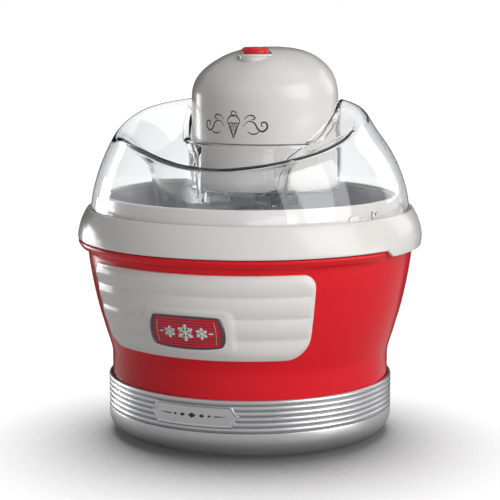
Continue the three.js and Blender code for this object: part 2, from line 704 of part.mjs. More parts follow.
function motorCover() {
  const outer = leaningStack(COVER, 250.6, 12.5);
  const rows = COVER.filter((row) => row[0] > 12).map(([r, z, s], i) => [
    r - HOUSING_WALL,
    i === 0 ? z - 5 : z - (HOUSING_WALL * Math.max(0, z - DOME_START)) / 28,
    s,
  ]);
  const shell = cut(outer, leaningStack(rows, 248, 12));
  const bosses = BOSS_AZIMUTHS.map((a) =>
    cylinder(4.5, PLATE.top + GAP, PLATE.top + 18, aroundMotor(BOSS_RING + 2, a)).intersect(outer),
  );
  const holes = BOSS_AZIMUTHS.map((a) => cylinder(1.5, 180, 202, aroundMotor(BOSS_RING, a)));
  const buttonHole = cylinder(10.9, 230, 260, { sides: 24, y: BUTTON_Y });
  const pocket = cylinder(11.9, 245 - GAP, 260, { sides: 24, y: BUTTON_Y });
  return cut(union(shell, ...bosses), ...holes, buttonHole, pocket, glandShape(GLAND.radius + GAP, 60, 90));
}

function baseCover() {
  const disc = cylinder(46, MOTOR_BOTTOM, MOTOR_BOTTOM + 2.4, { y: MOTOR_Y, sides: ROUND });
  const hub = cylinder(9.5, HUB_BOTTOM, MOTOR_BOTTOM + 4, { sides: 20 });
  const posts = BOSS_AZIMUTHS.map((a) =>
    cylinder(4.2, MOTOR_BOTTOM + 2, PLATE.bottom - GAP, aroundMotor(BOSS_RING, a)),
  );
  const axleHole = cylinder(1.9, MOTOR_BOTTOM + 1.2, 170, LAYSHAFT);
  const screwHoles = BOSS_AZIMUTHS.map((a) => cylinder(1.7, 150, 190, aroundMotor(BOSS_RING, a)));
  const heads = BOSS_AZIMUTHS.map((a) => cylinder(3.4, 150, MOTOR_BOTTOM + 1.4, aroundMotor(BOSS_RING, a)));
  return cut(union(disc, hub, ...posts), axleHole, ...screwHoles, ...heads, cylinder(6.3, 150, 172, { sides: 20 }));
}

const outputBush = () => tube(4.3, 6, HUB_BOTTOM, MOTOR_BOTTOM + 4, { sides: 20 });

// A spur gear with straight-flanked teeth and backlash; phase is in tooth pitches.
function gear(teeth, bottom, top, bore, { x = 0, y = 0 } = {}, phase = 0) {
  const pitch = (2 * Math.PI) / teeth;
  const [root, tip] = [pitchRadius(teeth) - 1.2 * MODULE_MM, pitchRadius(teeth) + 0.85 * MODULE_MM];
  const shape = new THREE.Shape();
  for (let i = 0; i < teeth; i++) {
    const middle = (i + phase) * pitch;
    for (const [radius, share] of [[root, -0.3], [tip, -0.12], [tip, 0.12], [root, 0.3]]) {
      const a = middle + share * pitch;
      shape.lineTo(radius * Math.cos(a), radius * Math.sin(a));
    }
  }
  shape.closePath();
  const body = cut(raised(shape, bottom, top), cylinder(bore, bottom - 1, top + 1));
  return body.translate([x, y, 0]);
}

// Turns a gear so that a gap of it faces a tooth that points along `angle` from its neighbour.
const meshPhase = (teeth, angle) => (angle * teeth) / (2 * Math.PI) - 0.5;

const angleTo = (from, to) => Math.atan2(to.y - from.y, to.x - from.x);

const OUTPUT_AT = { x: 0, y: 0 };
const MOTOR_SHAFT_AT = { x: 0, y: SHAFT_Y };

function outputGear() {
  return gear(TEETH.output, 168, 174, 3.7, OUTPUT_AT, meshPhase(TEETH.output, angleTo(OUTPUT_AT, LAYSHAFT)));
}

function outputShaft() {
  const shaft = cylinder(4, 147.5, 167.6, { sides: 20 });
  const neck = cylinder(3.3, 167, 175, { sides: 20 });
  const tang = block([-2.2, -2, 133], [2.2, 2, 148]);
  const wings = block([-5.6, -1.8, 133], [5.6, 1.8, 146]);
  return union(shaft, neck, tang, wings);
}

// Small and large gears of the reduction stage, moulded as one.
function reductionGear() {
  const small = gear(TEETH.layshaft, 167.4, 176, 1.9, LAYSHAFT, (angleTo(LAYSHAFT, OUTPUT_AT) * TEETH.layshaft) / (2 * Math.PI));
  const large = gear(TEETH.wheel, 175.6, 181, 1.9, LAYSHAFT, (angleTo(LAYSHAFT, MOTOR_SHAFT_AT) * TEETH.wheel) / (2 * Math.PI));
  return small.add(large);
}

function motorPinion() {
  const phase = meshPhase(TEETH.pinion, angleTo(MOTOR_SHAFT_AT, LAYSHAFT));
  return gear(TEETH.pinion, 175.4, 182.4, 1.9, MOTOR_SHAFT_AT, phase);
}

function gearboxPlate() {
  const disc = cylinder(44.5, PLATE.bottom, PLATE.top, { y: MOTOR_Y, sides: ROUND });
  const holes = BOSS_AZIMUTHS.map((a) => cylinder(1.7, 180, 190, aroundMotor(BOSS_RING, a)));
  const earHoles = MOTOR_EARS.map((spot) => cylinder(1.5, 180, 190, spot));
  const bores = [cylinder(4, 180, 190, MOTOR_SHAFT_AT), cylinder(1.9, 180, 190, LAYSHAFT)];
  return cut(disc, ...holes, ...earHoles, ...bores);
}

const MOTOR_CAN = { bottom: PLATE.top + GAP, top: 214, radius: 29 };

function motorCan() {
  const { bottom, top, radius } = MOTOR_CAN;
  const can = turned(
    [[0, bottom], [radius, bottom], [radius, top - 2], [radius - 2, top], [8, top], [8, top + 2], [0, top + 2]],
    { sides: 28, y: SHAFT_Y },
  );
  return cut(can, cylinder(2.6, bottom - 1, bottom + 14, MOTOR_SHAFT_AT));
}

const MOTOR_EARS = [1, -1].map((side) => ({ x: side * (MOTOR_CAN.radius + 6), y: SHAFT_Y }));

// Fixing plate of the motor: a band with two ears, screwed to the gearbox plate.
function motorClamp() {
  const band = tube(MOTOR_CAN.radius + GAP, MOTOR_CAN.radius + 2, PLATE.top + GAP, PLATE.top + 6, { sides: 28, y: SHAFT_Y });
  const ears = MOTOR_EARS.map((spot) => cylinder(4.8, PLATE.top + GAP, PLATE.top + 2, spot));
  const holes = MOTOR_EARS.map((spot) => cylinder(1.7, 180, 200, spot));
  const inside = cylinder(MOTOR_CAN.radius + GAP, 180, 220, { sides: 28, y: SHAFT_Y });
  return cut(union(band, ...ears), ...holes, inside);
}

function buttonBezel() {
  const profile = [[9.7, 238], [10.6, 238], [10.6, 245], [11.6, 245], [11.6, 246], [11, 246.6], [9.7, 246.6]];
  return turned(profile, { sides: 24, y: BUTTON_Y });
}

function powerButton() {
  const cap = [[0, 244.6], [BUTTON_RADIUS, 244.6], [BUTTON_RADIUS, 249.6], [8, 250.9], [5, BUTTON_TOP], [0, BUTTON_TOP]];
  const stem = cylinder(2.6, 236.6, 245, { y: BUTTON_Y });
  return turned(cap, { sides: 24, y: BUTTON_Y }).add(stem);
}

function switchBody() {
  const box = block([-8, BUTTON_Y - 8, 222], [8, BUTTON_Y + 8, 233]);
  const neck = cylinder(9.3, 233 - 0.5, 238 - 0.4, { sides: 20, y: BUTTON_Y });
  return cut(union(box, neck), cylinder(3.2, 230, 245, { y: BUTTON_Y }));
}

// Return spring of the button: a few turns of round wire between the switch and the cap.
function buttonSpring() {
  class Helix extends THREE.Curve {
    getPoint(t) {
      const a = 2 * Math.PI * 2.5 * t;
      return new THREE.Vector3(6 * Math.cos(a), BUTTON_Y + 6 * Math.sin(a), 238.5 + 5.2 * t);
    }
  }
  const wire = new THREE.Shape().absarc(0, 0, 0.45, 0, 2 * Math.PI, false);
  const geometry = new THREE.ExtrudeGeometry(wire, { steps: 30, extrudePath: new Helix(), curveSegments: 3 });
  return solid(geometry);
}

const cordGland = () =>
  cut(
    union(glandShape(GLAND.radius, 70.8, 76.5), glandShape(GLAND.radius + 1.4, 76.2, 78.6), glandShape(GLAND.radius - 1, 78, 86)),
    glandShape(GLAND.bore, 60, 100),
  );

function motorUnit() {
  const coverScrews = BOSS_AZIMUTHS.map((a, i) =>
    piece(`cover_screw_${i + 1}`, screw(1.3, 3, MOTOR_BOTTOM, 1.1, 198, aroundMotor(BOSS_RING, a)), "steel"),
  );
  const clampScrews = MOTOR_EARS.map((spot, i) =>
    piece(`clamp_screw_${i + 1}`, screw(1.2, 2.8, PLATE.top + 2 + GAP, 1.6, 183, spot), "steel"),
  );
  return assembly(
    piece("motor_cover", motorCover(), "cream"),
    piece("motor_base", baseCover(), "cream"),
    piece("gearbox_plate", gearboxPlate(), "steel"),
    piece("drive_motor", motorCan(), "steel"),
    piece("motor_clamp", motorClamp(), "steel"),
    piece("output_bush", outputBush(), "bronze"),
    piece("output_gear", outputGear(), "nylon"),
    piece("output_shaft", outputShaft(), "steel"),
    piece("reduction_gear", reductionGear(), "nylon"),
    piece("reduction_axle", cylinder(1.6, MOTOR_BOTTOM + 1.5, PLATE.top, LAYSHAFT), "steel"),
    piece("motor_pinion", motorPinion(), "nylon"),
    piece("motor_shaft", cylinder(1.6, 174, MOTOR_CAN.bottom + 12, MOTOR_SHAFT_AT), "steel"),
    coverScrews,
    clampScrews,
    piece("button_bezel", buttonBezel(), "cream"),
    piece("power_button", powerButton(), "red"),
    piece("power_switch", switchBody(), "black"),
    piece("button_spring", buttonSpring(), "steel"),
    piece("cord_gland", cordGland(), "rubber"),
  );
}

// ---------------------------------------------------------------- the whole object
const iceCreamMaker = new THREE.Group();
iceCreamMaker.name = "ice_cream_maker";
iceCreamMaker.add(housing(), freezerBowl(), lockingRing(), lid(), motorUnit());

export default iceCreamMaker;
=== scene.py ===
"""Looks of the ice cream maker: smooth shells, materials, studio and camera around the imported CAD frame.

Lengths in the helper calls are millimetres in the CAD's frame: +Z up, front towards -Y.
"""

import math

import bmesh
import bpy
from mathutils import Matrix, Vector
from mathutils.bvhtree import BVHTree

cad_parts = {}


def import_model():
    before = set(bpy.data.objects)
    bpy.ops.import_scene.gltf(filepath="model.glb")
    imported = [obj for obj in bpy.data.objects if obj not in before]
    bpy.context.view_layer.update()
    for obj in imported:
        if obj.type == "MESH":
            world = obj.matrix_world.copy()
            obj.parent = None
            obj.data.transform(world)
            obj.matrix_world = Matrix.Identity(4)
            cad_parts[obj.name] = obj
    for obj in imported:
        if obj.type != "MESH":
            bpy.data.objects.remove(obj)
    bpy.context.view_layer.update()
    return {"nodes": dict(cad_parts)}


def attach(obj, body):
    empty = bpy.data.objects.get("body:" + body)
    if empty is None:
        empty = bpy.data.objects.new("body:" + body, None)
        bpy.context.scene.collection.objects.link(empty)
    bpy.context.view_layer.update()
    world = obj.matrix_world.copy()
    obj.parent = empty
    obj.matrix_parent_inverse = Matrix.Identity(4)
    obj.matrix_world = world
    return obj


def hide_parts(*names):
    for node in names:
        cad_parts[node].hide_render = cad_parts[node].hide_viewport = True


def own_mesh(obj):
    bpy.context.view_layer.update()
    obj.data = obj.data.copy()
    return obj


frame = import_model()
MM = 0.001
DEG = math.pi / 180

# ---- dimensions shared with the CAD
MOTOR_Y = 26.0
BUTTON_Y = 8.4
WELL_RADIUS = 49.6
WELL_TOP = 158.9  # upper face of the well's floor
MOTOR_BOTTOM = 159.2
HOOKS = (61, 180, -61)  # azimuths of the lid's bayonet hooks
GLAND_Z = 228
TAB_AZIMUTH = 90
BODY_FLANK = [
    (90.7, 38), (90.7, 48), (90.9, 55), (92.4, 61), (94.2, 66.5), (96.4, 74), (98.6, 81.5),
    (100.7, 90), (102.4, 98), (103.8, 105.5), (105, 113), (105.9, 120),
]
DOME = [
    (104, 145.9), (103.9, 149), (103.4, 152.5), (102.4, 158.4), (100.6, 165), (98.3, 171.5), (95.4, 178.1),
    (91.8, 184.7), (87.4, 191.3), (83.1, 197), (80, 201.6), (78, 204.8), (75.4, 208.4), (71.6, 211.9), (66.5, 214.5),
    (59, 216.7), (50, 218.4), (30, 220.2), (0, 221),
]


# ---- profiles
def between(p, q, r, s, t):
    """Catmull-Rom value between q and r."""
    return 0.5 * (2 * q + (r - p) * t + (2 * p - 5 * q + 4 * r - s) * t * t + (3 * q - p - 3 * r + s) * t ** 3)


def spline(points, steps=6):
    """Catmull-Rom curve through points of any dimension."""
    ends = [points[0], *points, points[-1]]
    curve = []
    for four in zip(ends, ends[1:], ends[2:], ends[3:]):
        curve += [tuple(between(*values, k / steps) for values in zip(*four)) for k in range(steps)]
    return curve + [tuple(points[-1])]


def rounded(points, steps=4, closed=True):
    """Profile with its corners rounded: each point is (r, z) or (r, z, corner radius)."""
    curve = []
    for i, point in enumerate(points):
        here = Vector(point[:2])
        radius = point[2] if len(point) > 2 else 0
        inner = closed or 0 < i < len(points) - 1
        if not radius or not inner:
            curve.append(tuple(here))
            continue
        before = Vector(points[i - 1][:2]) - here
        after = Vector(points[(i + 1) % len(points)][:2]) - here
        half = before.angle(after) / 2
        reach = min(radius / math.tan(half), 0.47 * before.length, 0.47 * after.length)
        radius = reach * math.tan(half)
        centre = here + (before.normalized() + after.normalized()).normalized() * (radius / math.sin(half))
        start = here + before.normalized() * reach - centre
        end = here + after.normalized() * reach - centre
        for k in range(steps + 1):
            arm = start.lerp(end, k / steps)
            curve.append(tuple(centre + arm.normalized() * radius))
    return curve


def radius_on(profile, z):
    """Radius at a height on a profile that rises from point to point."""
    for (r0, z0), (r1, z1) in zip(profile, profile[1:]):
        if z <= z1:
            return r0 + (r1 - r0) * (z - z0) / (z1 - z0)
    return profile[-1][0]


FLANK = spline(BODY_FLANK, 4)
DOME_CURVE = spline(DOME, 5)


def smoothstep(a, b, x):
    t = min(max((x - a) / (b - a), 0), 1)
    return t * t * (3 - 2 * t)


def signed(azimuth):
    return azimuth if azimuth <= 180 else azimuth - 360


def polar(radius, azimuth, z):
    """Point at an azimuth in degrees from the front towards +X."""
    a = azimuth * DEG
    return (radius * math.sin(a), -radius * math.cos(a), z)


# ---- meshes
def new_object(name, verts, faces):
    mesh = bpy.data.meshes.new(name)
    mesh.from_pydata([Vector(v) * MM for v in verts], [], faces)
    obj = bpy.data.objects.new(name, mesh)
    bpy.context.collection.objects.link(obj)
    return obj


def quads(rows, columns, wraps=(True, True), flip=False, start=0):
    """Faces of a grid of points given row by row. wraps says whether the rows and the columns close up."""
    faces = []
    for i in range(rows - (not wraps[0])):
        a, b = start + i * columns, start + (i + 1) % rows * columns
        for k in range(columns - (not wraps[1])):
            m = (k + 1) % columns
            faces.append((a + k, a + m, b + m, b + k) if flip else (a + k, b + k, b + m, a + m))
    return faces


def clean(mesh, degenerate=False, outward=True):
    """Joins doubled points and faces a closed mesh outwards."""
    bm = bmesh.new()
    bm.from_mesh(mesh)
    bmesh.ops.remove_doubles(bm, verts=bm.verts, dist=1e-6)
    if degenerate:
        bmesh.ops.dissolve_degenerate(bm, edges=bm.edges, dist=1e-7)
    if outward:
        bmesh.ops.recalc_face_normals(bm, faces=bm.faces)
    bm.to_mesh(mesh)
    bm.free()


def lathe(name, profile, sides=128, x=0.0, y=0.0, warp=None):
    """Profile of (radius, height) turned about a vertical axis. warp(azimuth, r, z) may move a point."""
    closed = not (profile[0][0] < 1e-6 and profile[-1][0] < 1e-6)
    azimuths = sides if isinstance(sides, list) else [360 * i / sides for i in range(sides)]
    verts = []
    for azimuth in azimuths:
        for r, z in profile:
            if warp:
                r, z = warp(azimuth, r, z)
            px, py, pz = polar(max(r, 0), azimuth, z)
            verts.append((px + x, py + y, pz))
    return new_object(name, verts, quads(len(azimuths), len(profile), (True, closed)))


def turned(name, profile, sides=128, x=0.0, y=0.0, steps=4):
    """Solid turned from an open profile that starts and ends on the axis."""
    return lathe(name, rounded(profile, steps, closed=False), sides, x, y)


def cylinder(name, radius, bottom, top, x=0.0, y=0.0, sides=96, bevel=0.0):
    return turned(name, [(0, bottom), (radius, bottom, bevel), (radius, top, bevel), (0, top)], sides, x, y)


def tube(name, inner, outer, bottom, top, x=0.0, y=0.0, sides=96, bevel=0.0):
    profile = rounded([(inner, bottom, bevel), (outer, bottom, bevel), (outer, top, bevel), (inner, top, bevel)])
    return lathe(name, profile, sides, x, y)


def box(name, low, high, bevel=0.0, segments=2):
    x0, y0, z0 = low
    x1, y1, z1 = high
    verts = [(x, y, z) for x in (x0, x1) for y in (y0, y1) for z in (z0, z1)]
    faces = [(0, 1, 3, 2), (4, 6, 7, 5), (0, 4, 5, 1), (2, 3, 7, 6), (0, 2, 6, 4), (1, 5, 7, 3)]
    obj = new_object(name, verts, faces)
    if bevel:
        round_edges(obj, bevel, segments)
    return obj


def apply(obj, kind, **settings):
    modifier = obj.modifiers.new(kind, kind)
    for key, value in settings.items():
        setattr(modifier, key, value)
    with bpy.context.temp_override(object=obj, active_object=obj, selected_objects=[obj]):
        bpy.ops.object.modifier_apply(modifier=modifier.name)
    return obj


def round_edges(obj, width, segments=2, angle=40):
    return apply(obj, "BEVEL", width=width * MM, segments=segments, limit_method="ANGLE", angle_limit=angle * DEG)


def combine(obj, *others, how="UNION"):
    """Boolean of obj with each of the others, which are used up."""
    for other in (obj, *others):
        clean(other.data)
    for other in others:
        apply(obj, "BOOLEAN", operation=how, object=other, solver="MANIFOLD")
        bpy.data.objects.remove(other)
    return obj


def cut(obj, *others):
    return combine(obj, *others, how="DIFFERENCE")


def prism(name, outline, low, high, place=lambda u, v, w: (u, v, w)):
    """Closed 2-D outline raised from low to high. place(u, v, w) gives the 3-D point."""
    n = len(outline)
    verts = [place(u, v, w) for w in (low, high) for u, v in outline]
    faces = [tuple(range(n))[::-1], tuple(range(n, 2 * n))]
    faces += [(i, (i + 1) % n, n + (i + 1) % n, n + i) for i in range(n)]
    return new_object(name, verts, faces)


def rotated(obj, degrees, axis="Z"):
    obj.data.transform(Matrix.Rotation(degrees * DEG, 4, axis))
    return obj


def moved(obj, x, y, z):
    obj.data.transform(Matrix.Translation(Vector((x, y, z)) * MM))
    return obj


def facing_back(obj):
    """Turns a piece made about the vertical axis to the cord's way out at the back of the motor cover."""
    return moved(rotated(obj, -90, "X"), 0, 0, GLAND_Z)


def hide(obj, *rays):
    for ray in rays:
        setattr(obj, "visible_" + ray, False)


def finished(obj, body, material, slot, *nodes, angle=32, outward=True):
    """Shades a piece smooth up to an angle, gives it its material, and lets it stand for CAD nodes on a body."""
    clean(obj.data, True, outward)
    obj.data.shade_smooth()
    obj.data.set_sharp_from_angle(angle=angle * DEG)
    obj.data.materials.clear()
    obj.data.materials.append(material)
    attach(obj, body)
    if nodes:
        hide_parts(*nodes)
    return obj


# ---- materials
class Nodes:
    """The node tree of a new material or world, with short calls for the usual nodes."""

    def __init__(self, name, kind="materials"):
        self.owner = getattr(bpy.data, kind).new(name)
        self.owner.use_nodes = True
        self.tree = self.owner.node_tree
        self.shader = self.tree.nodes.get("Principled BSDF")
        self.place = self.add("TexCoord").outputs["Object"]

    def feed(self, node, inputs):
        """Gives a node its inputs: numbers, colours, or outputs of other nodes."""
        for key, value in inputs.items():
            if isinstance(value, bpy.types.NodeSocket):
                self.tree.links.new(value, node.inputs[key])
            else:
                node.inputs[key].default_value = value

    def add(self, kind, inputs=None, **settings):
        node = self.tree.nodes.new("ShaderNode" + kind)
        for key, value in settings.items():
            setattr(node, key, value)
        self.feed(node, inputs or {})
        return node

    def noise(self, scale, detail=3.0, stretch=None):
        place = self.place
        if stretch:
            place = self.add("Mapping", {"Scale": stretch, "Vector": place}).outputs["Vector"]
        inputs = {"Scale": scale, "Detail": detail, "Roughness": 0.55, "Vector": place}
        return self.add("TexNoise", inputs).outputs["Fac"]

    def cells(self, feature, scale):
        return self.add("TexVoronoi", {"Scale": scale, "Vector": self.place}, feature=feature).outputs

    def ramp(self, value, *stops):
        node = self.add("ValToRGB", {"Fac": value})
        elements = node.color_ramp.elements
        while len(elements) < len(stops):
            elements.new(0.5)
        for element, (position, colour) in zip(elements, stops):
            element.position = position
            element.color = (*colour, 1)
        return node.outputs["Color"]

    def drift(self, scale, detail, dark, light):
        """Slow change of colour over the piece."""
        return self.ramp(self.noise(scale, detail), (0.3, dark), (0.7, light))

    def ranged(self, value, low, high, start=0.3, end=0.7):
        inputs = {"From Min": start, "From Max": end, "To Min": low, "To Max": high, "Value": value}
        return self.add("MapRange", inputs).outputs["Result"]

    def blend(self, a, b, factor, how="MIX"):
        return self.add("Mix", {"Factor": factor, "A": a, "B": b}, data_type="RGBA", blend_type=how).outputs["Result"]

    def bump(self, value, strength, distance=0.0001, **after):
        inputs = {"Strength": strength, "Distance": distance, "Height": value, **after}
        return self.add("Bump", inputs).outputs["Normal"]

    def straight_seen(self):
        """1 for rays from the camera and for those that passed the clear lid, else 0."""
        path = self.add("LightPath").outputs
        rays = {0: path["Is Camera Ray"], 1: path["Is Transmission Ray"]}
        return self.add("Math", rays, operation="MAXIMUM").outputs[0]

    def finish(self, colour, roughness, **numbers):
        """Feeds the main shader; an underscore in a name stands for a blank."""
        more = {key.replace("_", " "): value for key, value in numbers.items()}
        self.feed(self.shader, {"Base Color": colour, "Roughness": roughness, **more})
        return self.owner


def tint(colour, factor):
    return tuple(min(c * factor, 1) for c in colour)


def plastic(name, colour, rough=0.2, spread=0.05, grain=900, grain_strength=0.03, coat=0.0, specular=0.5):
    """Moulded plastic: slight colour drift, uneven gloss, faint flow waves and a fine grain."""
    n = Nodes(name)
    waves = n.bump(n.noise(35, 2), 0.02, 0.001)
    return n.finish(
        n.drift(14, 4, tint(colour, 1 - spread), tint(colour, 1 + spread)),
        n.ranged(n.noise(60, 5), rough * 0.82, rough * 1.2),
        Normal=n.bump(n.noise(grain, 2), grain_strength, Normal=waves),
        Specular_IOR_Level=specular, Coat_Weight=coat, Coat_Roughness=0.04,
    )


def metal(name, colour, rough=0.3, stretch=(1, 1, 1), scale=400, strength=0.08, spread=0.06):
    """Metal with fine directional scratches and slight staining."""
    n = Nodes(name)
    scratches = n.noise(scale, 4, stretch)
    return n.finish(
        n.drift(18, 4, tint(colour, 1 - spread), tint(colour, 1 + spread)),
        n.ranged(scratches, rough * 0.75, rough * 1.25),
        Normal=n.bump(scratches, strength), Metallic=1.0,
    )


def silver_paint():
    """Satin metallic paint: tiny flakes under a clear coat."""
    n = Nodes("silver_paint")
    flakes = n.cells("F1", 2600)
    spark = n.ramp(flakes["Color"], (0.0, (0.5, 0.5, 0.51)), (1.0, (0.7, 0.7, 0.71)))
    shade = n.drift(16, 3, (0.58, 0.58, 0.59), (0.64, 0.64, 0.65))
    return n.finish(
        n.blend(shade, spark, 0.35), n.ranged(n.noise(90, 4), 0.27, 0.36),
        Normal=n.bump(flakes["Distance"], 0.04), Metallic=0.85, Coat_Weight=0.25, Coat_Roughness=0.12,
    )


def clear_plastic():
    """Clear styrene: very smooth, with faint flow waves from the mould, and with painted shade that darkens it where it
    is seen edge on.
    """
    n = Nodes("clear_plastic")
    wave = n.noise(22, 1)
    body = n.ramp(wave, (0.3, (0.965, 0.97, 0.98)), (0.7, (0.98, 0.985, 0.99)))
    facing = n.add("LayerWeight", {"Blend": 0.5}).outputs["Facing"]
    # painted shade: a ramp on the facing darkens the clear plastic towards its edges as seen, drawing dark outlines
    rim = n.ramp(facing, (0.6, (1, 1, 1)), (0.85, (0.86, 0.87, 0.91)), (0.98, (0.45, 0.47, 0.55)))
    return n.finish(
        n.blend(body, rim, 1.0, "MULTIPLY"), n.ranged(n.noise(40, 3), 0.0, 0.02),
        Normal=n.bump(wave, 0.015, 0.0008), Transmission_Weight=1.0, IOR=1.5,
    )


def rubber(name, colour):
    n = Nodes(name)
    return n.finish(
        n.drift(50, 5, tint(colour, 0.8), tint(colour, 1.3)), n.ranged(n.noise(200, 3), 0.6, 0.8),
        Normal=n.bump(n.noise(1500, 3), 0.15),
    )


def gel_block():
    """Frozen gel: milky blue with a crackle of frost."""
    n = Nodes("frozen_gel")
    crackle = n.cells("DISTANCE_TO_EDGE", 90)["Distance"]
    return n.finish(
        n.ramp(crackle, (0.0, (0.86, 0.93, 0.97)), (0.08, (0.5, 0.7, 0.85))), n.ranged(n.noise(120, 4), 0.35, 0.6),
        Normal=n.bump(n.noise(300, 4), 0.2, 0.0003), Subsurface_Weight=0.2,
    )


RED = plastic("red_plastic", (0.72, 0.011, 0.02), 0.2, 0.03, specular=0.2)
CREAM = plastic("cream_plastic", (0.76, 0.735, 0.705), 0.2, 0.015, coat=0.15)
BUTTON_RED = plastic("button_red", (0.6, 0.01, 0.012), 0.25, 0.04, grain=1600, grain_strength=0.05)
BADGE_RED = plastic("badge_red", (0.66, 0.008, 0.035), 0.16, 0.06, coat=0.4)
BADGE_LINES = plastic("badge_lines", (0.2, 0.002, 0.012), 0.3, 0.05)
MINT = plastic("mint_enamel", (0.62, 0.8, 0.76), 0.25, 0.03)
GOLD = metal("pale_gold", (0.75, 0.58, 0.36), 0.3)
INK = plastic("printed_ink", (0.03, 0.018, 0.015), 0.45, 0.2, grain=2500, grain_strength=0.1)
SILVER = silver_paint()
# painted reflection: the badge frame's chrome is darkened in its colour to stand for the dark surroundings it mirrors
CHROME_WITH_PAINTED_DARK_REFLECTION = metal("dark_chrome", (0.15, 0.15, 0.17), 0.1, scale=250, strength=0.01, spread=0.03)
PLATE_METAL = metal("brushed_plate", (0.7, 0.7, 0.71), 0.28, (1, 1, 60), 60, 0.12)
STEEL = metal("zinc_steel", (0.6, 0.61, 0.62), 0.34, scale=500, strength=0.1)
CAN_STEEL = metal("motor_can_steel", (0.55, 0.56, 0.57), 0.38, (1, 1, 25), 90, 0.1)
BRONZE = metal("sintered_bronze", (0.62, 0.42, 0.2), 0.5, scale=1800, strength=0.3, spread=0.15)
BOWL_METAL = metal("spun_aluminium", (0.34, 0.345, 0.36), 0.42, (1, 1, 0.04), 260, 0.25, 0.12)
CLEAR = clear_plastic()
# painted shade: near-black stands for the dark recess behind the lid's right catch
CATCH_IN_PAINTED_SHADE = plastic("smoked_catch", (0.05, 0.05, 0.06), 0.25, 0.1)
SMOKE = plastic("paddle_plastic", (0.42, 0.43, 0.45), 0.3, 0.04, grain=1200, grain_strength=0.06)
WHITE = plastic("white_plastic", (0.8, 0.8, 0.78), 0.35, 0.02, grain=1300, grain_strength=0.08)
NYLON = plastic("natural_nylon", (0.74, 0.7, 0.58), 0.42, 0.04, grain=1000, grain_strength=0.1)
BLACK = plastic("black_plastic", (0.022, 0.022, 0.025), 0.45, 0.15, grain=1500, grain_strength=0.25)
FOOT_RUBBER = rubber("grey_rubber", (0.4, 0.4, 0.41))
SEAL = rubber("grey_seal", (0.22, 0.22, 0.23))
GEL = gel_block()


# ---- housing
def notch_depth(azimuth):
    """How far into a side notch of the flange an azimuth is, from 0 outside to 1 inside."""
    side = abs(signed(azimuth))
    low, high = TAB_AZIMUTH - 19.4, TAB_AZIMUTH + 18.4
    return smoothstep(low, TAB_AZIMUTH - 18.4, side) - smoothstep(high, TAB_AZIMUTH + 19.4, side)


def side_azimuths():
    """Azimuths round the body, closer together at the edges of the notches and the tabs."""
    edges = []
    for side in (TAB_AZIMUTH, 360 - TAB_AZIMUTH):
        for edge in (side - 19, side - 16.5, side + 16.5, side + 19):
            edges += [edge + 0.25 * k for k in range(-7, 8)]
    return sorted(set(edges + [2.5 * i for i in range(144)]))


def outer_body():
    outside = [*FLANK, *rounded([
        (105.9, 120), (106.4, 122.4, 2.0), (110.2, 123.5, 2.4), (112.1, 126.4, 1.4), (112, 128.2, 0.7),
        (103.2, 128.2, 0.7), (103.2, 119.5, 4), (102.6, 116),
    ], closed=False)[1:-1]]
    inside = [(r - 2.6, z) for r, z in FLANK[::-1] if z < 116]

    def warp(azimuth, r, z):
        return (r - (r - 106.6) * notch_depth(azimuth) if z > 121.5 and r > 106.6 else r), z

    shell = lathe("housing_shell", outside + inside, side_azimuths(), warp=warp)
    webs = ((80, -4.5, 15), (89.5, 4.5, 26)), ((72, -4.5, 8), (85.8, 4.5, 26))
    combine(shell, *[rotated(box("web", *ends), turn) for turn in (-45, 45, 135, 225) for ends in webs])
    finished(shell, "housing", RED, "red", "outer_body")


PANEL_AZIMUTH, PANEL_BOTTOM, PANEL_TOP = 44.8, 63.7, 118.5


def panel_relief(s, z, edge):
    """Height of the front panel over the housing: rim, four convex bands and the pad round the badge."""
    rim = 1.25 * math.sqrt(max(0, 1 - (1 - min(edge / 1.3, 1)) ** 2))
    share = (z - PANEL_BOTTOM) / (PANEL_TOP - PANEL_BOTTOM) * 4
    local = 2 * (share % 1) - 1
    band = 1.25 * (1 - local * local) * smoothstep(0.2, 4, edge)
    dx = max(abs(s) - 24.0, 0)
    dz = max(abs(z - 82.6) - 8.8, 0)
    pad = smoothstep(5.9, 3.9, math.hypot(dx, dz))
    return rim + band * (1 - 0.85 * pad) + 1.7 * pad


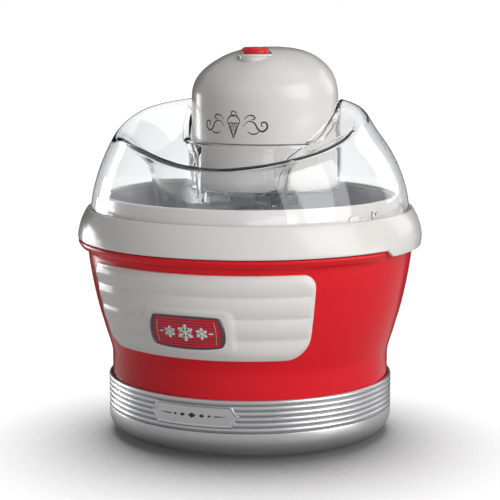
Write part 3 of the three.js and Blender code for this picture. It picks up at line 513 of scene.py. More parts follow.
def front_panel():
    bottom, top = PANEL_BOTTOM, PANEL_TOP
    low, high = 15.0, 9.0  # radii of the lower and the upper corners
    turn = [(1 - math.cos(a * DEG), 1 - math.sin(a * DEG)) for a in range(0, 90, 6)]
    rows = [(bottom + low * up, low * side) for up, side in turn]
    rows += [(bottom + low + (top - high - bottom - low) * k / 44, 0) for k in range(45)]
    rows += [(top - high * up, high * side) for up, side in turn[::-1]]
    margins = [0, 0.12, 0.3, 0.6, 1.0, 1.5, 2.2, 3.2, 4.5]
    verts = []
    for z, inset in rows:
        radius = radius_on(FLANK, z)
        full = radius * PANEL_AZIMUTH * DEG
        half = full - inset
        columns = [-half + m for m in margins]
        columns += [(-half + margins[-1]) + (2 * half - 2 * margins[-1]) * k / 90 for k in range(1, 90)]
        columns += [half - m for m in margins[::-1]]
        for s in columns:
            edge = min(half - abs(s), z - bottom, top - z)
            if inset:
                lower = z < (bottom + top) / 2
                corner = low if lower else high
                dx = abs(s) - (full - corner)
                dz = (bottom + corner - z) if lower else (z - top + corner)
                if dx > 0 and dz > 0:
                    edge = corner - math.hypot(dx, dz)
            verts.append(polar(radius + 0.02 + panel_relief(s, z, max(edge, 0)), s / radius / DEG, z))
    wide, tall = len(columns), len(rows)
    faces = quads(tall, wide, (False, False), True)
    outline = [*range(wide), *(i * wide + wide - 1 for i in range(1, tall))]
    outline += [(tall - 1) * wide + j for j in range(wide - 2, -1, -1)] + [i * wide for i in range(tall - 2, 0, -1)]
    skirt, n = len(verts), len(outline)
    for index in outline:
        v = Vector(verts[index])
        verts.append(tuple(v - Vector((v.x, v.y, 0)).normalized() * 1.4))
    faces += [(outline[(i + 1) % n], outline[i], skirt + i, skirt + (i + 1) % n) for i in range(n)]
    panel = new_object("front_panel_skin", verts, faces)
    finished(panel, "housing", CREAM, "cream", "front_panel", angle=50, outward=False)


# ---- badge
BADGE_Z = 82.0


def on_flank(s, z, lift):
    """Point at a distance s along the housing from its front."""
    radius = radius_on(FLANK, z) + lift
    return polar(radius, s / radius / DEG, z)


def badge_point(u, v, height, inset=(0, 0)):
    """A point of the barrel-shaped badge: u and v run from -1 to 1 across and up."""
    half_width, half_height, bulge, crown = 25.2, 10.8, 2.2, 1.0
    u *= 1 - inset[0] / half_width
    v *= 1 - inset[1] / half_height
    soft = 1 - 0.035 * (abs(u) * abs(v)) ** 6
    s = u * soft * (half_width - bulge * v * v)
    return on_flank(s, BADGE_Z + v * soft * (half_height - (crown - 0.6 * v) * u * u), 3.2 + height)


def badge_edge(count=24):
    """Once round the badge in (u, v)."""
    steps = [2 * k / count - 1 for k in range(count)]
    return [(s, -1) for s in steps] + [(1, s) for s in steps] + [(-s, 1) for s in steps] + [(-1, -s) for s in steps]


def badge():
    rings = [
        ((0, 0), -2.0), ((0, 0), 0.3), ((0.12, 0.08), 0.7), ((0.5, 0.25), 1.0), ((1.2, 0.6), 1.12), ((1.9, 0.95), 0.95),
        ((2.25, 1.15), 0.6), ((2.35, 1.25), 0.1), ((2.4, 1.3), -1.4),
    ]
    edge = badge_edge()
    verts = [badge_point(u, v, h, inset) for inset, h in rings for u, v in edge]
    rim = new_object("badge_rim", verts, quads(len(rings), len(edge), flip=True))
    finished(rim, "housing", CHROME_WITH_PAINTED_DARK_REFLECTION, "chrome", "badge_frame", angle=60)

    lines, columns, rows = 11, 40, 132
    verts = []
    for i in range(rows + 1):
        v = 2 * i / rows - 1
        wave = math.cos(math.pi * (lines * (v + 1)))
        for j in range(columns + 1):
            u = 2 * j / columns - 1
            fade = smoothstep(1, 0.93, abs(u)) * smoothstep(1, 0.95, abs(v))
            verts.append(badge_point(u, v, 0.4 - 0.22 * fade * smoothstep(0.1, 0.95, wave), (2.3, 1.2)))
    plate = new_object("badge_field", verts, quads(rows + 1, columns + 1, (False, False), True))
    finished(plate, "housing", BADGE_RED, "badge", "badge_plate", angle=80, outward=False)
    plate.data.materials.append(BADGE_LINES)
    for polygon in plate.data.polygons:
        row = polygon.index // columns
        if math.cos(math.pi * (lines * 2 * (row + 0.5) / rows)) > 0.35:
            polygon.material_index = 1

    for side, name in ((-1, "left"), (1, "right")):
        strip = [badge_point(side * (0.86 + du), v / 10, 0.6 + lift, (2.3, 1.2)) for v in range(-8, 9)
                 for du, lift in ((-0.012, -0.4), (-0.008, 0), (0.008, 0), (0.012, -0.4))]
        line = new_object("badge_line_" + name, strip, quads(17, 4, (False, False), True))
        finished(line, "housing", GOLD, "chrome", angle=60, outward=False)
    ornament()


def stroke(path, widths, height, place, base=-0.3):
    """Raised stroke along a 2-D path, with a rounded back. place(s, t, lift) puts it on the surface."""
    verts = []
    section = [(-1, base), (-0.9, height * 0.55), (-0.45, height), (0.45, height), (0.9, height * 0.55), (1, base)]
    for i, (s, t) in enumerate(path):
        along = (Vector(path[min(i + 1, len(path) - 1)]) - Vector(path[max(i - 1, 0)])).normalized()
        width = widths[i] if isinstance(widths, list) else widths
        for side, lift in section:
            verts.append(place(s - along.y * side * width / 2, t + along.x * side * width / 2, lift))
    m = len(section)
    ends = [tuple(range(m)), tuple(len(verts) - m + k for k in range(m))[::-1]]
    return verts, quads(len(path), m, (False, False)) + ends


def merged(name, parts):
    verts, faces = [], []
    for v, f in parts:
        faces += [tuple(len(verts) + i for i in face) for face in f]
        verts += v
    return new_object(name, verts, faces)


def straight(a, b, count=6):
    return [(a[0] + (b[0] - a[0]) * k / count, a[1] + (b[1] - a[1]) * k / count) for k in range(count + 1)]


def ornament():
    """Raised mint snowflakes on the badge."""
    def place(s, t, lift):
        return on_flank(s, BADGE_Z + t, 3.6 + lift)

    def ray(start, length, a):
        return start[0] + length * math.cos(a), start[1] + length * math.sin(a)

    parts = []
    for x, size, width in ((0, 5.4, 0.8), (-10.6, 3.9, 0.7), (10.6, 3.9, 0.7)):
        for k in range(6):
            a = (90 + 60 * k) * DEG
            parts.append(stroke(straight((x, 0), ray((x, 0), size, a)), width, 0.5, place))
            for turn in (-55 * DEG, 55 * DEG):
                for share, reach in ((0.45, 0.34), (0.72, 0.24)):
                    root = ray((x, 0), size * share, a)
                    twig = straight(root, ray(root, size * reach, a + turn))
                    parts.append(stroke(twig, width * 0.85, 0.45, place))
    for x in (-16.6, 16.6):
        parts.append(stroke(straight((x - 1.6, 0), (x + 1.6, 0)), [0.1, 0.7, 1.1, 1.3, 1.1, 0.7, 0.1], 0.45, place))
    finished(merged("badge_snowflakes", parts), "housing", MINT, "badge", angle=40)


# ---- base
def base_ring():
    fillet = [(82.0 + 11.2 * math.sin(a * DEG), 13.2 - 11.2 * math.cos(a * DEG)) for a in range(0, 91, 6)]
    profile = [(81.5, 2.6), (81.8, 2.1), *fillet, (93.2, 17.7), (93.05, 18.2)]
    pitch = 3.43
    for i in range(6):
        z = 18.5 + i * pitch
        profile.append((92.0, z))
        for k in range(9):
            t = 0.08 + 0.84 * k / 8
            profile.append((92.15 + 1.1 * math.sin(math.pi * t) ** 0.55, z + pitch * t))
    profile += [(92.0, 39.08), (91.4, 39.08), (91.2, 38.8), (91.2, 15), (89.6, 9.4), (86.6, 5.6), (83, 4.4)]
    profile.append((81.5, 4.4))
    finished(lathe("base_shell", profile, 192), "housing", SILVER, "silver", "base_ring", angle=42)


def name_plate():
    """Plate with pointed ends, a raised border and a row of plain diamonds and dashes."""
    half, z0, z1 = 28.2, 22.2, 35.4
    middle, high = (z0 + z1) / 2, (z1 - z0) / 2

    def point(u, v, inset, height):
        reach = half - 2.6 * abs(v) ** 0.7 + 1.8 * (1 - abs(v)) ** 2
        return polar(93.25 + height, u * (reach - inset) / 93.25 / DEG, middle + v * (high - inset))

    rings = [(0, -1.4), (0, 0.35), (0.18, 0.6), (0.9, 0.62), (1.1, 0.42), (1.3, 0.4)]
    steps = 24
    edge = badge_edge(steps)
    verts = [point(u, v, inset, h) for inset, h in rings for u, v in edge]
    faces = quads(len(rings), len(edge), (False, True), True)
    faces += quads(steps + 1, steps + 1, (False, False), True, len(verts))
    verts += [point(-1 + j / 12, -1 + i / 12, 1.3, 0.4) for i in range(steps + 1) for j in range(steps + 1)]
    finished(new_object("name_plate_skin", verts, faces), "housing", PLATE_METAL, "nameplate", "name_plate",
             angle=50, outward=False)

    def place(s, t, lift):
        return polar(93.65 + lift, s / 93.65 / DEG, middle + t)

    parts = []
    for x, size in ((0, 2.6), (-6.5, 1.8), (6.5, 1.8), (-11.5, 1.2), (11.5, 1.2)):
        widths = [0.05, size * 0.5, size, size * 1.35, size, size * 0.5, 0.05]
        parts.append(stroke(straight((x - size, 0), (x + size, 0)), widths, 0.3, place))
    for side in (-1, 1):
        widths = [0.8, 0.75, 0.65, 0.55, 0.4, 0.25, 0.05]
        parts.append(stroke(straight((side * 14.5, 0), (side * 22.5, 0)), widths, 0.25, place))
    finished(merged("name_plate_marks", parts), "housing", INK, "black", angle=40)


def feet_and_screws():
    foot = [(0, 0.6), (3.5, 0.6, 0.4), (4.0, 0, 0.4), (6.3, 0, 0.8), (6.5, 2.2, 0.5), (6.1, 4.4, 0.3), (0, 4.4)]
    for azimuth, name in ((0, "front"), (90, "right"), (180, "rear"), (270, "left")):
        pad = turned(f"foot_pad_{name}", foot, 48, *polar(73, azimuth, 0)[:2])
        finished(pad, "housing", FOOT_RUBBER, "rubber", f"foot_{name}")
    holes = []
    for i in range(4):
        x, y, _ = polar(77, 90 * i + 45, 0)
        screw(f"base_screw_head_{i + 1}", x, y, 2.8, 4.4, 19, 3.2, 1.6, "housing", f"base_screw_{i + 1}")
        holes.append(cylinder("hole", 2.1, 0, 12, x, y, 24))
    for k in range(-4, 5):
        half = 16 - 1.5 * abs(k)
        holes.append(moved(box("vent", (-half, -1.1, 4), (half, 1.1, 5.6)), 0, k * 5.0, 0))
    plate = turned("underside", [(0, 4.7), (83, 4.7, 0.5), (86, 6.2, 0.6), (86, 7.7, 0.5), (0, 7.7)])
    finished(cut(plate, *holes), "housing", BLACK, "black", "base_plate")


def screw(name, x, y, outer, inner, tip, head_radius, shank, body, node):
    """Pan-head screw, its head down, with a cross recess and a few turns of thread."""
    profile = [(0, outer), (head_radius * 0.72, outer), (head_radius * 0.93, outer + 0.35),
               (head_radius, outer + 0.8), (head_radius, inner), (shank, inner)]
    length = tip - inner
    turns = max(3, int(length / 1.4))
    for k in range(turns):
        z = inner + length * (0.04 + 0.86 * k / turns)
        profile += [(shank * 0.8, z), (shank, z + 0.45 * length / turns)]
    obj = lathe(name, profile + [(shank * 0.45, inner + length * 0.95), (0, tip)], 32, x, y)
    long, low, high = head_radius * 0.5, outer - 0.5, outer + 0.9
    cut(obj, *[box("bar", (x - dx, y - dy, low), (x + dx, y + dy, high)) for dx, dy in ((long, 0.4), (0.4, long))])
    finished(obj, body, STEEL, "steel", node)


# ---- bowl, paddle and locking ring
def bowl():
    inside = [(0, 50, 0), (68, 50, 6), (77.5, 54.5, 8), (88, 130, 0), (92.6, 152, 0), (92.8, 155.5, 0.6)]
    outside = [(94.2, 155.5, 0.6), (94.2, 152, 0), (89.6, 130, 0), (79.2, 53.4, 8), (71, 48.5, 6), (0, 48.5, 0)]
    shell = turned("bowl_lining", inside + outside, 160, steps=6)
    combine(shell, turned("pin", [(0, 49), (6, 49), (6, 50.2, 0.4), (4, 50.6, 0.5), (4, 55, 0.9), (0, 55)], 48))
    finished(shell, "freezer_bowl", BOWL_METAL, "aluminium", "bowl_inner")

    outer = [(0, 40, 0), (82, 40, 4), (86.3, 45, 3), (86.3, 57, 12), (97.6, 112, 20), (98.6, 128.5, 0.6),
             (107, 128.5, 0.6), (107, 130.2, 0.6), (97, 130.2, 0.4), (96, 112, 15), (84.7, 57.2, 10), (84.7, 45.6, 3),
             (81.4, 41.6, 2), (0, 41.6, 0)]
    jacket = turned("bowl_jacket", outer, 160, steps=5)
    cut(jacket, cylinder("hole", 4.3, 30, 45, 40, 0, 32))
    combine(jacket, *[tube("ring", r, r + 1.2, 39.7, 40.3, sides=96, bevel=0.2) for r in (20, 74)])
    finished(jacket, "freezer_bowl", WHITE, "white", "bowl_outer")

    plug = [(0, 38.6), (5.2, 38.6, 0.5), (6, 39.2, 0.4), (6, 39.7, 0.2), (4, 39.7, 0.2), (4, 41.6, 0.3), (0, 41.6)]
    finished(turned("plug", plug, 40, 40), "freezer_bowl", SEAL, "seal", "fill_plug")
    for node, material in (("coolant_gel", GEL), ("bowl_seal", SEAL)):
        dress(node, material)


def paddle():
    reach = 74
    outer = spline([(-2, 0), (10, 6.5), (26, 12), (46, 15.4), (reach - 8, 16), (reach - 3.4, 14.4), (reach - 2, 10),
                    (reach - 2.2, 8)])
    inner = spline([(reach - 4.3, 7.6), (reach - 5.6, 11), (reach - 9, 12.4), (48, 11.6), (28, 8.2), (12, 2.2),
                    (2, -4)])
    wing = prism("wing", outer + inner, 56, 122)
    for x0, x1 in ((16, 36), (42, 58)):
        for z in (65, 92):
            cut(wing, box("window", (x0, -10, z), (x1, 30, z + 20), 3, 4))
    round_edges(wing, 0.7, 2, 35)
    other = wing.copy()
    other.data = wing.data.copy()
    bpy.context.collection.objects.link(other)
    hub = turned("paddle_body", [(0, 55.5), (8, 55.5, 1), (8.4, 70, 0), (10, 147, 1.2), (0, 147)], 64)
    combine(hub, wing, rotated(other, 180))
    cut(hub, cylinder("socket", 7.2, 130, 152, sides=48), cylinder("centring", 4.8, 50, 60, sides=40))
    for low, high in ((4.6, 8), (-8, -4.6)):
        combine(hub, box("dog", (-1.2, low, 129), (1.2, high, 143), 0.25))
    for k in (0, 5):
        combine(hub, tube("collar", 8.6, 10.6 - 0.1 * k, 124.5 + 3 * k, 125.7 + 3 * k, sides=64, bevel=0.3))
    finished(hub, "paddle", SMOKE, "smoke", "paddle", angle=38)


def tab_depth(azimuth):
    side = abs(signed(azimuth))
    slope = 1 - (abs(side - TAB_AZIMUTH) - 14.6) / 3.6
    return smoothstep(0, 0.25, slope) * min(max(slope, 0), 0.85) + 0.15 * smoothstep(0.75, 1.0, slope)


def locking_ring():
    outside = spline([(112.45, 130.6), (112, 133.8), (111.2, 137.4), (109.9, 141.2), (108.2, 144.9), (107, 147)], 4)
    profile = rounded([
        (109.6, 129.4, 0.4), (109.9, 128.75, 0.4), (112.3, 128.75, 0.7), *outside, (106.2, 148.2, 0.6),
        (104.9, 148.1, 0.4), (104.9, 145.6, 0.5), (97.2, 145.6, 0.8), (97.2, 156.2, 0.5), (96.6, 156.8, 0.4),
        (94.4, 156.8, 0.4), (94.4, 155.8), (95.2, 155.8), (95.2, 143.2), (103, 143.2, 1), (106.2, 140.6, 1), (109.4, 133),
    ])

    def warp(azimuth, r, z):
        depth = tab_depth(azimuth) if z < 129.6 else 0
        return r - 0.5 * depth, z - 4.3 * depth

    ring = lathe("locking_ring_skin", profile, side_azimuths(), warp=warp)
    for azimuth in HOOKS:
        for start, inner in ((azimuth - 7, 100.9), (azimuth + 5, 98)):
            cut(ring, arc_block(inner, 104.4, start, azimuth + 20, 141, 147))
    finished(ring, "locking_ring", CREAM, "cream", "locking_ring")


def arc_block(inner, outer, start, end, bottom, top):
    """Piece of a ring between two azimuths."""
    steps = max(4, int((end - start) / 1.5))
    outline = [polar(outer, start + (end - start) * k / steps, 0)[:2] for k in range(steps + 1)]
    outline += [polar(inner, end - (end - start) * k / steps, 0)[:2] for k in range(steps + 1)]
    return prism("arc", outline, bottom, top)


# ---- clear lid
WALL = 2.3
CHUTE_Y = -47.0
CREST_Y, CREST_SIDE, CREST_FRONT, CREST_BACK = -15.0, 79.2, 78.0, 66.0
# Height of the scoop's rim every 15 degrees, from the back by the left side and the front to the back.
CREST_HEIGHTS = [
    219.4, 218.7, 217.4, 215.3, 213.4, 210.2, 205.2, 199.8, 196.2, 194.9, 192.0, 186.9, 183.0, 181.5, 183.2, 186.4,
    190.4, 195.8, 202.0, 207.0, 211.2, 214.6, 217.0, 218.6,
]
SIDES = 288


def path_lengths(points):
    """Length along a polyline at each of its points."""
    lengths = [0.0]
    for a, b in zip(points, points[1:]):
        lengths.append(lengths[-1] + (b - a).length)
    return lengths


def point_at(points, lengths, at):
    j = next((i for i in range(1, len(lengths)) if lengths[i] >= at - 1e-6), len(lengths) - 1)
    t = (at - lengths[j - 1]) / max(lengths[j] - lengths[j - 1], 1e-9)
    return points[j - 1].lerp(points[j], min(t, 1))


def crest_point(azimuth):
    """The scoop's rim: two half ellipses in plan, climbing from the front to the back."""
    a = azimuth * DEG
    side = (azimuth % 360 + 180) % 360 / 15
    k = int(side)
    z = between(*(CREST_HEIGHTS[(k + d) % 24] for d in (-1, 0, 1, 2)), side - k)
    reach = CREST_FRONT if math.cos(a) > 0 else CREST_BACK
    return Vector((CREST_SIDE * math.sin(a), CREST_Y - reach * math.cos(a), z))


def softness(azimuth):
    """How far the rounding of the rim reaches: tight in front, wide at the sides."""
    side = signed(azimuth)
    return 3.4 + (4.6 * smoothstep(72, 110, side) if side > 0 else 4.6 * smoothstep(28, 62, -side))


def flank(azimuth):
    """Outside of the lid below the rim at an azimuth of the rim, from the rim down to the ledge."""
    crest = crest_point(azimuth) + Vector((0, 0, 0.36 * (softness(azimuth) - 2.5)))
    reach = math.hypot(crest.x, crest.y)
    out = Vector((crest.x / reach, crest.y / reach, 0))
    outline = [Vector(point) for point in DOME_CURVE[::-1]]
    lengths = path_lengths(outline)
    start, root = dome_nearest(outline, lengths, Vector((reach, crest.z)))
    offset = Vector((reach, crest.z)) - root
    total = lengths[-1] - start
    points = []
    for k in range(31):
        at = start + total * k / 30
        r, z = point_at(outline, lengths, at) + offset * max(1 - (at - start) / min(48, total), 0) ** 2
        points.append(out * r + Vector((0, 0, z)))
    return points


def dome_nearest(outline, lengths, target):
    """The dome's point nearest to a target: its length along the outline, and the point."""
    best = (1e9, 0.0, target)
    for a, b, at in zip(outline, outline[1:], lengths):
        span = b - a
        t = min(max((target - a).dot(span) / max(span.length_squared, 1e-9), 0), 1)
        near = a + span * t
        if (near - target).length < best[0]:
            best = ((near - target).length, at + span.length * t, near)
    return best[1:]


def sections(azimuth):
    """Upper and under side of the lid's skin at an azimuth: chute, scoop, rim and flank as polylines."""
    a = azimuth * DEG
    ray = Vector((math.sin(a), -math.cos(a), 0))
    foot = Vector((0, CHUTE_Y, 151)) + ray * 37
    mouth = Vector((0, CHUTE_Y, 180)) + ray * 43
    down = flank(azimuth)
    crest = down[0]
    climb = crest - mouth
    near = crest_point(azimuth + 1) - crest_point(azimuth - 1)
    scoop_out = climb.cross(near).normalized()
    if scoop_out.z > 0:
        scoop_out = -scoop_out
    chute_out = Vector((ray.x, ray.y, -6 / 29)).normalized()
    dome_in = near.cross(down[0] - down[2]).normalized()
    if dome_in.dot(Vector((crest.x, crest.y, 40))) > 0:
        dome_in = -dome_in

    def mitre(n1, n2):
        return (n1 + n2) * (WALL / max(1 + n1.dot(n2), 0.45))

    def turn(u, v):
        return math.tan(u.angle(v) / 2)

    lip = min(6.0, 0.45 * climb.length)
    soft = min(softness(azimuth), 0.55 * climb.length)
    lip_in = max(lip - WALL * turn(mouth - foot, climb), 0.25)
    soft_in = max(soft - WALL * turn(climb, down[2] - down[0]), 0.4)
    inside = [crest + mitre(scoop_out, dome_in)]
    for k in range(1, 30):
        normal = near.cross(down[k + 1] - down[k - 1]).normalized()
        inside.append(down[k] + (-normal if normal.dot(dome_in) < 0 else normal) * WALL)
    inside.append(Vector((down[-1].x, down[-1].y, 0)).normalized() * (104 - WALL) + Vector((0, 0, 145.9)))
    low_mouth = mouth + mitre(chute_out, scoop_out)
    return bent(foot, mouth, down, lip, soft), bent(foot + chute_out * WALL, low_mouth, inside, lip_in, soft_in)


def bent(foot, mouth, down, lip, soft):
    """Polyline from the chute's foot over its mouth and the rim and down the flank, with both bends rounded."""
    crest = down[0]
    climb = (crest - mouth).normalized()
    rise = (mouth - foot).normalized()
    limit = 0.49 * (crest - mouth).length
    lip, soft = min(lip, limit), min(soft, limit)
    start, end = mouth + climb * lip, crest - climb * soft
    points = [foot.lerp(mouth - rise * lip, k / 8) for k in range(8)]
    points += curve_between(mouth - rise * lip, mouth, start, 8)
    points += [start.lerp(end, k / 12) for k in range(1, 12)]
    index, passed = 1, 0.0
    while passed + (down[index] - down[index - 1]).length < soft:
        passed += (down[index] - down[index - 1]).length
        index += 1
    share = (soft - passed) / (down[index] - down[index - 1]).length
    landing = down[index - 1].lerp(down[index], share)
    tail = [landing, *down[index:]]
    lengths = path_lengths(tail)
    points += curve_between(end, crest, landing, 12)
    return points + [point_at(tail, lengths, lengths[-1] * k / 30) for k in range(1, 31)]


def curve_between(a, corner, b, steps):
    return [a * (1 - t) ** 2 + corner * (2 * t * (1 - t)) + b * t * t for t in (k / steps for k in range(steps + 1))]


def skin():
    """The lid's skin as one closed sheet with a uniform wall."""
    verts = []
    for i in range(SIDES):
        upper, under = sections(360 * i / SIDES)
        verts += upper + under[::-1]
    return new_object("lid_skin", verts, quads(SIDES, len(verts) // SIDES))


def surface_height(x, y):
    """Height of the lid's outside, without the scoop."""
    reach = math.hypot(x, y)
    low, high = 146.0, 221.0
    for _ in range(30):
        middle = (low + high) / 2
        if radius_on(DOME_CURVE, middle) > reach:
            low = middle
        else:
            high = middle
    return low


def well_wall(shell):
    """Rolled rim round the motor unit: low in front, climbing backwards, its outer skirt standing on the scoop."""
    tree = BVHTree.FromPolygons([v.co for v in shell.data.vertices], [p.vertices for p in shell.data.polygons])
    sides = 216
    verts = []
    for i in range(sides):
        a = 2 * math.pi * i / sides
        s, c = math.sin(a), math.cos(a)
        tops = []
        for shift in (-4, -2, 0, 2, 4):
            y = MOTOR_Y - 52.5 * c + shift
            dome = surface_height(52.5 * s, y) + 0.6 + 2.2 * smoothstep(31, 21, y)
            tops.append(min(max(190.5, 186.5 + 1.03 * y), dome))
        top = sum(tops) / 5
        below = tree.ray_cast(Vector((54.4 * s, MOTOR_Y - 54.4 * c, 260)) * MM, Vector((0, 0, -1)))[0]
        wide = smoothstep(31, 21, MOTOR_Y - 52.5 * c)
        root = top - 2.6 - wide * max(top - 2.6 - (below.z / MM - 1.2 if below else top), 0)
        section = (
            (49.6, WELL_TOP - 1.2), (50.9, WELL_TOP - 1.2), (51.4, WELL_TOP - 0.4), (51.4, top - 2.4),
            (51.5 + 0.9 * wide, top - 1.9), (51.6 + 1.9 * wide, top - 2.4), (51.6 + 1.9 * wide, root),
            (51.9 + 3.3 * wide, root), (51.9 + 3.3 * wide, top - 1.7), (51.6 + 3 * wide, top - 0.6),
            (51.2 + 2.2 * wide, top), (50.8 + 0.6 * wide, top), (50.1 + 0.1 * wide, top - 0.6), (49.6, top - 1.7),
        )
        verts += [(r * s, MOTOR_Y - r * c, z) for r, z in section]
    return new_object("well_wall", verts, quads(sides, len(section)))


def lid():
    shell = skin()
    wall = well_wall(shell)
    cut(shell, cylinder("cavity", WELL_RADIUS + 1, WELL_TOP, 260, 0, MOTOR_Y, 216))
    floor = cylinder("well_floor", WELL_RADIUS + 1, WELL_TOP - 1.4, WELL_TOP, 0, MOTOR_Y, 216)
    combine(shell, floor, wall)
    cut(shell, cylinder("hole", 13, 150, 165, sides=48))
    for azimuth in (36.5, -36.5):
        catch = box("catch_frame", (-8.5, -52.1, 151.5), (8.5, -49.9, 161), 0.4)
        cut(catch, box("gap", (-5.5, -60, 154), (5.5, -40, 159.5)))
        moved(rotated(catch, azimuth), 0, MOTOR_Y, 0)
        # The right catch is near-black, painted shade for the dark recess behind it; the left one stays clear in the
        # lid.
        if azimuth < 0:
            combine(shell, catch)
        else:
            finished(catch, "lid", CATCH_IN_PAINTED_SHADE, "clear", "lid")
    for azimuth in HOOKS:
        sizes = (101.7, 140.6, 148), (98.6, 140.4, 142.8)
        combine(shell, *[arc_block(inner, 103.7, azimuth - 6, azimuth + 6, low, high) for inner, low, high in sizes])
    marks(shell)
    finished(shell, "lid", CLEAR, "clear", "lid", angle=30)
    hide(shell, "shadow", "diffuse")  # the bowl under it stays as bright as in the open


def marks(shell):
    """Small moulded relief near the right edge: a grip bar and an oval pad."""
    for azimuth, z, half, high in ((60, 149.4, 4.4, 2.3), (68.8, 150.4, 0.9, 2.6), (71.4, 151.2, 2.2, 1.1)):
        radius = radius_on(DOME_CURVE, z)
        outline = [(half * math.cos(t * 15 * DEG), high * math.sin(t * 15 * DEG)) for t in range(24)]

        def place(u, v, w, radius=radius, azimuth=azimuth, z=z):
            return polar(w, azimuth + u / radius / DEG, z + v)

        combine(shell, prism("mark", outline, radius - 1.2, radius + 0.7, place))


# ---- motor unit
COVER = [
    (48.6, 159.7, 0), (48.6, 190, 0), (48.6, 214, 0), (48.5, 220, 0), (48.0, 224, 0.2), (46.9, 228, 0.9),
    (45.2, 231.6, 2.0), (42.6, 235.3, 3.6), (39.2, 238.8, 5.3), (34.8, 242.1, 7.1), (29.2, 245.4, 8.9),
    (22.4, 248, 10.4), (14.5, 249.7, 11.6), (6.5, 250.5, 12.3),
]


def stack(name, rows, apex, sides=160):
    """Circles about the motor's axis that lean back as they rise, closed at the top and bottom."""
    verts = []
    for r, z, shift in rows:
        for i in range(sides):
            x, y, _ = polar(r, 360 * i / sides, 0)
            verts.append((x, y + MOTOR_Y + shift, z))
    low, top = len(verts), len(verts) - sides
    verts += [(0, MOTOR_Y + rows[0][2], rows[0][1]), (0, MOTOR_Y + apex[1], apex[0])]
    faces = quads(len(rows), sides, (False, True), True)
    faces += [(low, (i + 1) % sides, i) for i in range(sides)]
    faces += [(low + 1, top + i, top + (i + 1) % sides) for i in range(sides)]
    return new_object(name, verts, faces)


BOSSES = (118, 218, 310)


def about_motor(radius, azimuth):
    x, y, _ = polar(radius, azimuth, 0)
    return x, y + MOTOR_Y


def motor_cover():
    rows = [(48.1, MOTOR_BOTTOM + 0.05, 0), (48.45, MOTOR_BOTTOM + 0.2, 0), *spline(COVER, 4)]
    outer = stack("motor_shell", rows, (250.65, 12.6))
    hollow = [(r - 2.2, z - 6 if k == 0 else z - 2.2 * smoothstep(218, 246, z), s)
              for k, (r, z, s) in enumerate(rows) if r > 8]
    cut(outer, stack("inner", hollow, (248.2, 12.4)))
    for azimuth in BOSSES:
        combine(outer, cylinder("boss", 4.2, 187.3, 205, *about_motor(41.2, azimuth), 40))
        cut(outer, cylinder("hole", 1.5, 180, 202, *about_motor(40.5, azimuth), 24))
    cut(outer, cylinder("button_hole", 10.9, 230, 262, 0, BUTTON_Y, 64))
    cut(outer, facing_back(cylinder("gland_hole", 6.5, 60, 90, sides=48)))
    finished(outer, "motor_unit", CREAM, "cream", "motor_cover", angle=36)
    emblem()


def emblem():
    """Printed flourish on the front of the motor cover: a wafer cone between two scrolls."""
    def place(s, t, lift):
        x, y = about_motor(48.66 + lift, s / 48.6 / DEG - 2.5)
        return x, y, 203 + t

    def ink(path, wide, thin=0.25):
        n = len(path) - 1
        widths = [thin + (wide - thin) * math.sin(math.pi * k / n) for k in range(n + 1)]
        return stroke(path, widths, 0.03, place, base=-0.1)

    parts = [ink(straight((-3.7, 0.6), (0, -9.2), 10), 0.75, 0.5), ink(straight((0, -9.2), (3.7, 0.6), 10), 0.75, 0.5)]
    for k in range(3):
        for side in (-1, 1):
            parts.append(ink(straight((side * (2.7 - 1.7 * k), 0.2), (side * (0.3 - 1.0 * k), -7.0 + 2.3 * k)), 0.35))
    rim = [(-4.6 + 9.2 * k / 24, 0.9 - 0.7 * abs(math.sin(math.pi * 3 * k / 24))) for k in range(25)]
    ball = [(4.3 * math.cos(a * DEG), 1.0 + 4.5 * math.sin(a * DEG)) for a in range(2, 179, 8)]
    swirl = [(2.4 * math.cos(a * DEG) * (1 - a / 500), 5.8 + 2.0 * math.sin(a * DEG) + a / 260)
             for a in range(-30, 300, 12)]
    parts += [ink(rim, 0.75, 0.6), ink(ball, 0.95, 0.5), ink(swirl, 0.8)]
    scroll = [(6.5, -1.6), (10, 1.8), (14, 0.8), (16.4, -3.2), (19.4, -4.6), (22.2, -2.2), (21.4, 1.0), (18.8, 1.0),
              (18.7, -1.2), (20.0, -1.5)]
    leaf = [(9.4, -4.6), (12, -6.2), (15.2, -6.0), (17.5, -4.3)]
    curl = [(7.2, 2.6), (9.6, 5.2), (12.8, 5.6), (14.4, 3.9), (13.0, 2.8), (12.0, 3.6)]
    for side in (-1, 1):
        for points, wide in ((scroll, 1.25), (leaf, 0.9), (curl, 0.9)):
            parts.append(ink([(side * s, t) for s, t in spline(points, 8)], wide))
    finished(merged("cover_emblem", parts), "motor_unit", INK, "black", angle=40)


def button():
    bezel = rounded([(9.75, 238, 0.3), (10.6, 238, 0.3), (10.6, 245.2, 0.2), (11.6, 245.2, 0.3), (11.6, 246, 0.4),
                     (11, 246.6, 0.5), (10.0, 246.6, 0.3), (9.75, 246.2)])
    finished(lathe("bezel_ring", bezel, 96, 0, BUTTON_Y), "motor_unit", CREAM, "cream", "button_bezel")
    cap = [(0, 236.6, 0), (2.6, 236.6, 0.4), (2.6, 244.6, 0), (9.2, 244.6, 0.3), (9.2, 248.9, 1.2), (7.4, 251.0, 2.0),
           (0, 251.3, 0)]
    finished(turned("button_cap", cap, 96, 0, BUTTON_Y, 6), "power_button", BUTTON_RED, "red", "power_button")


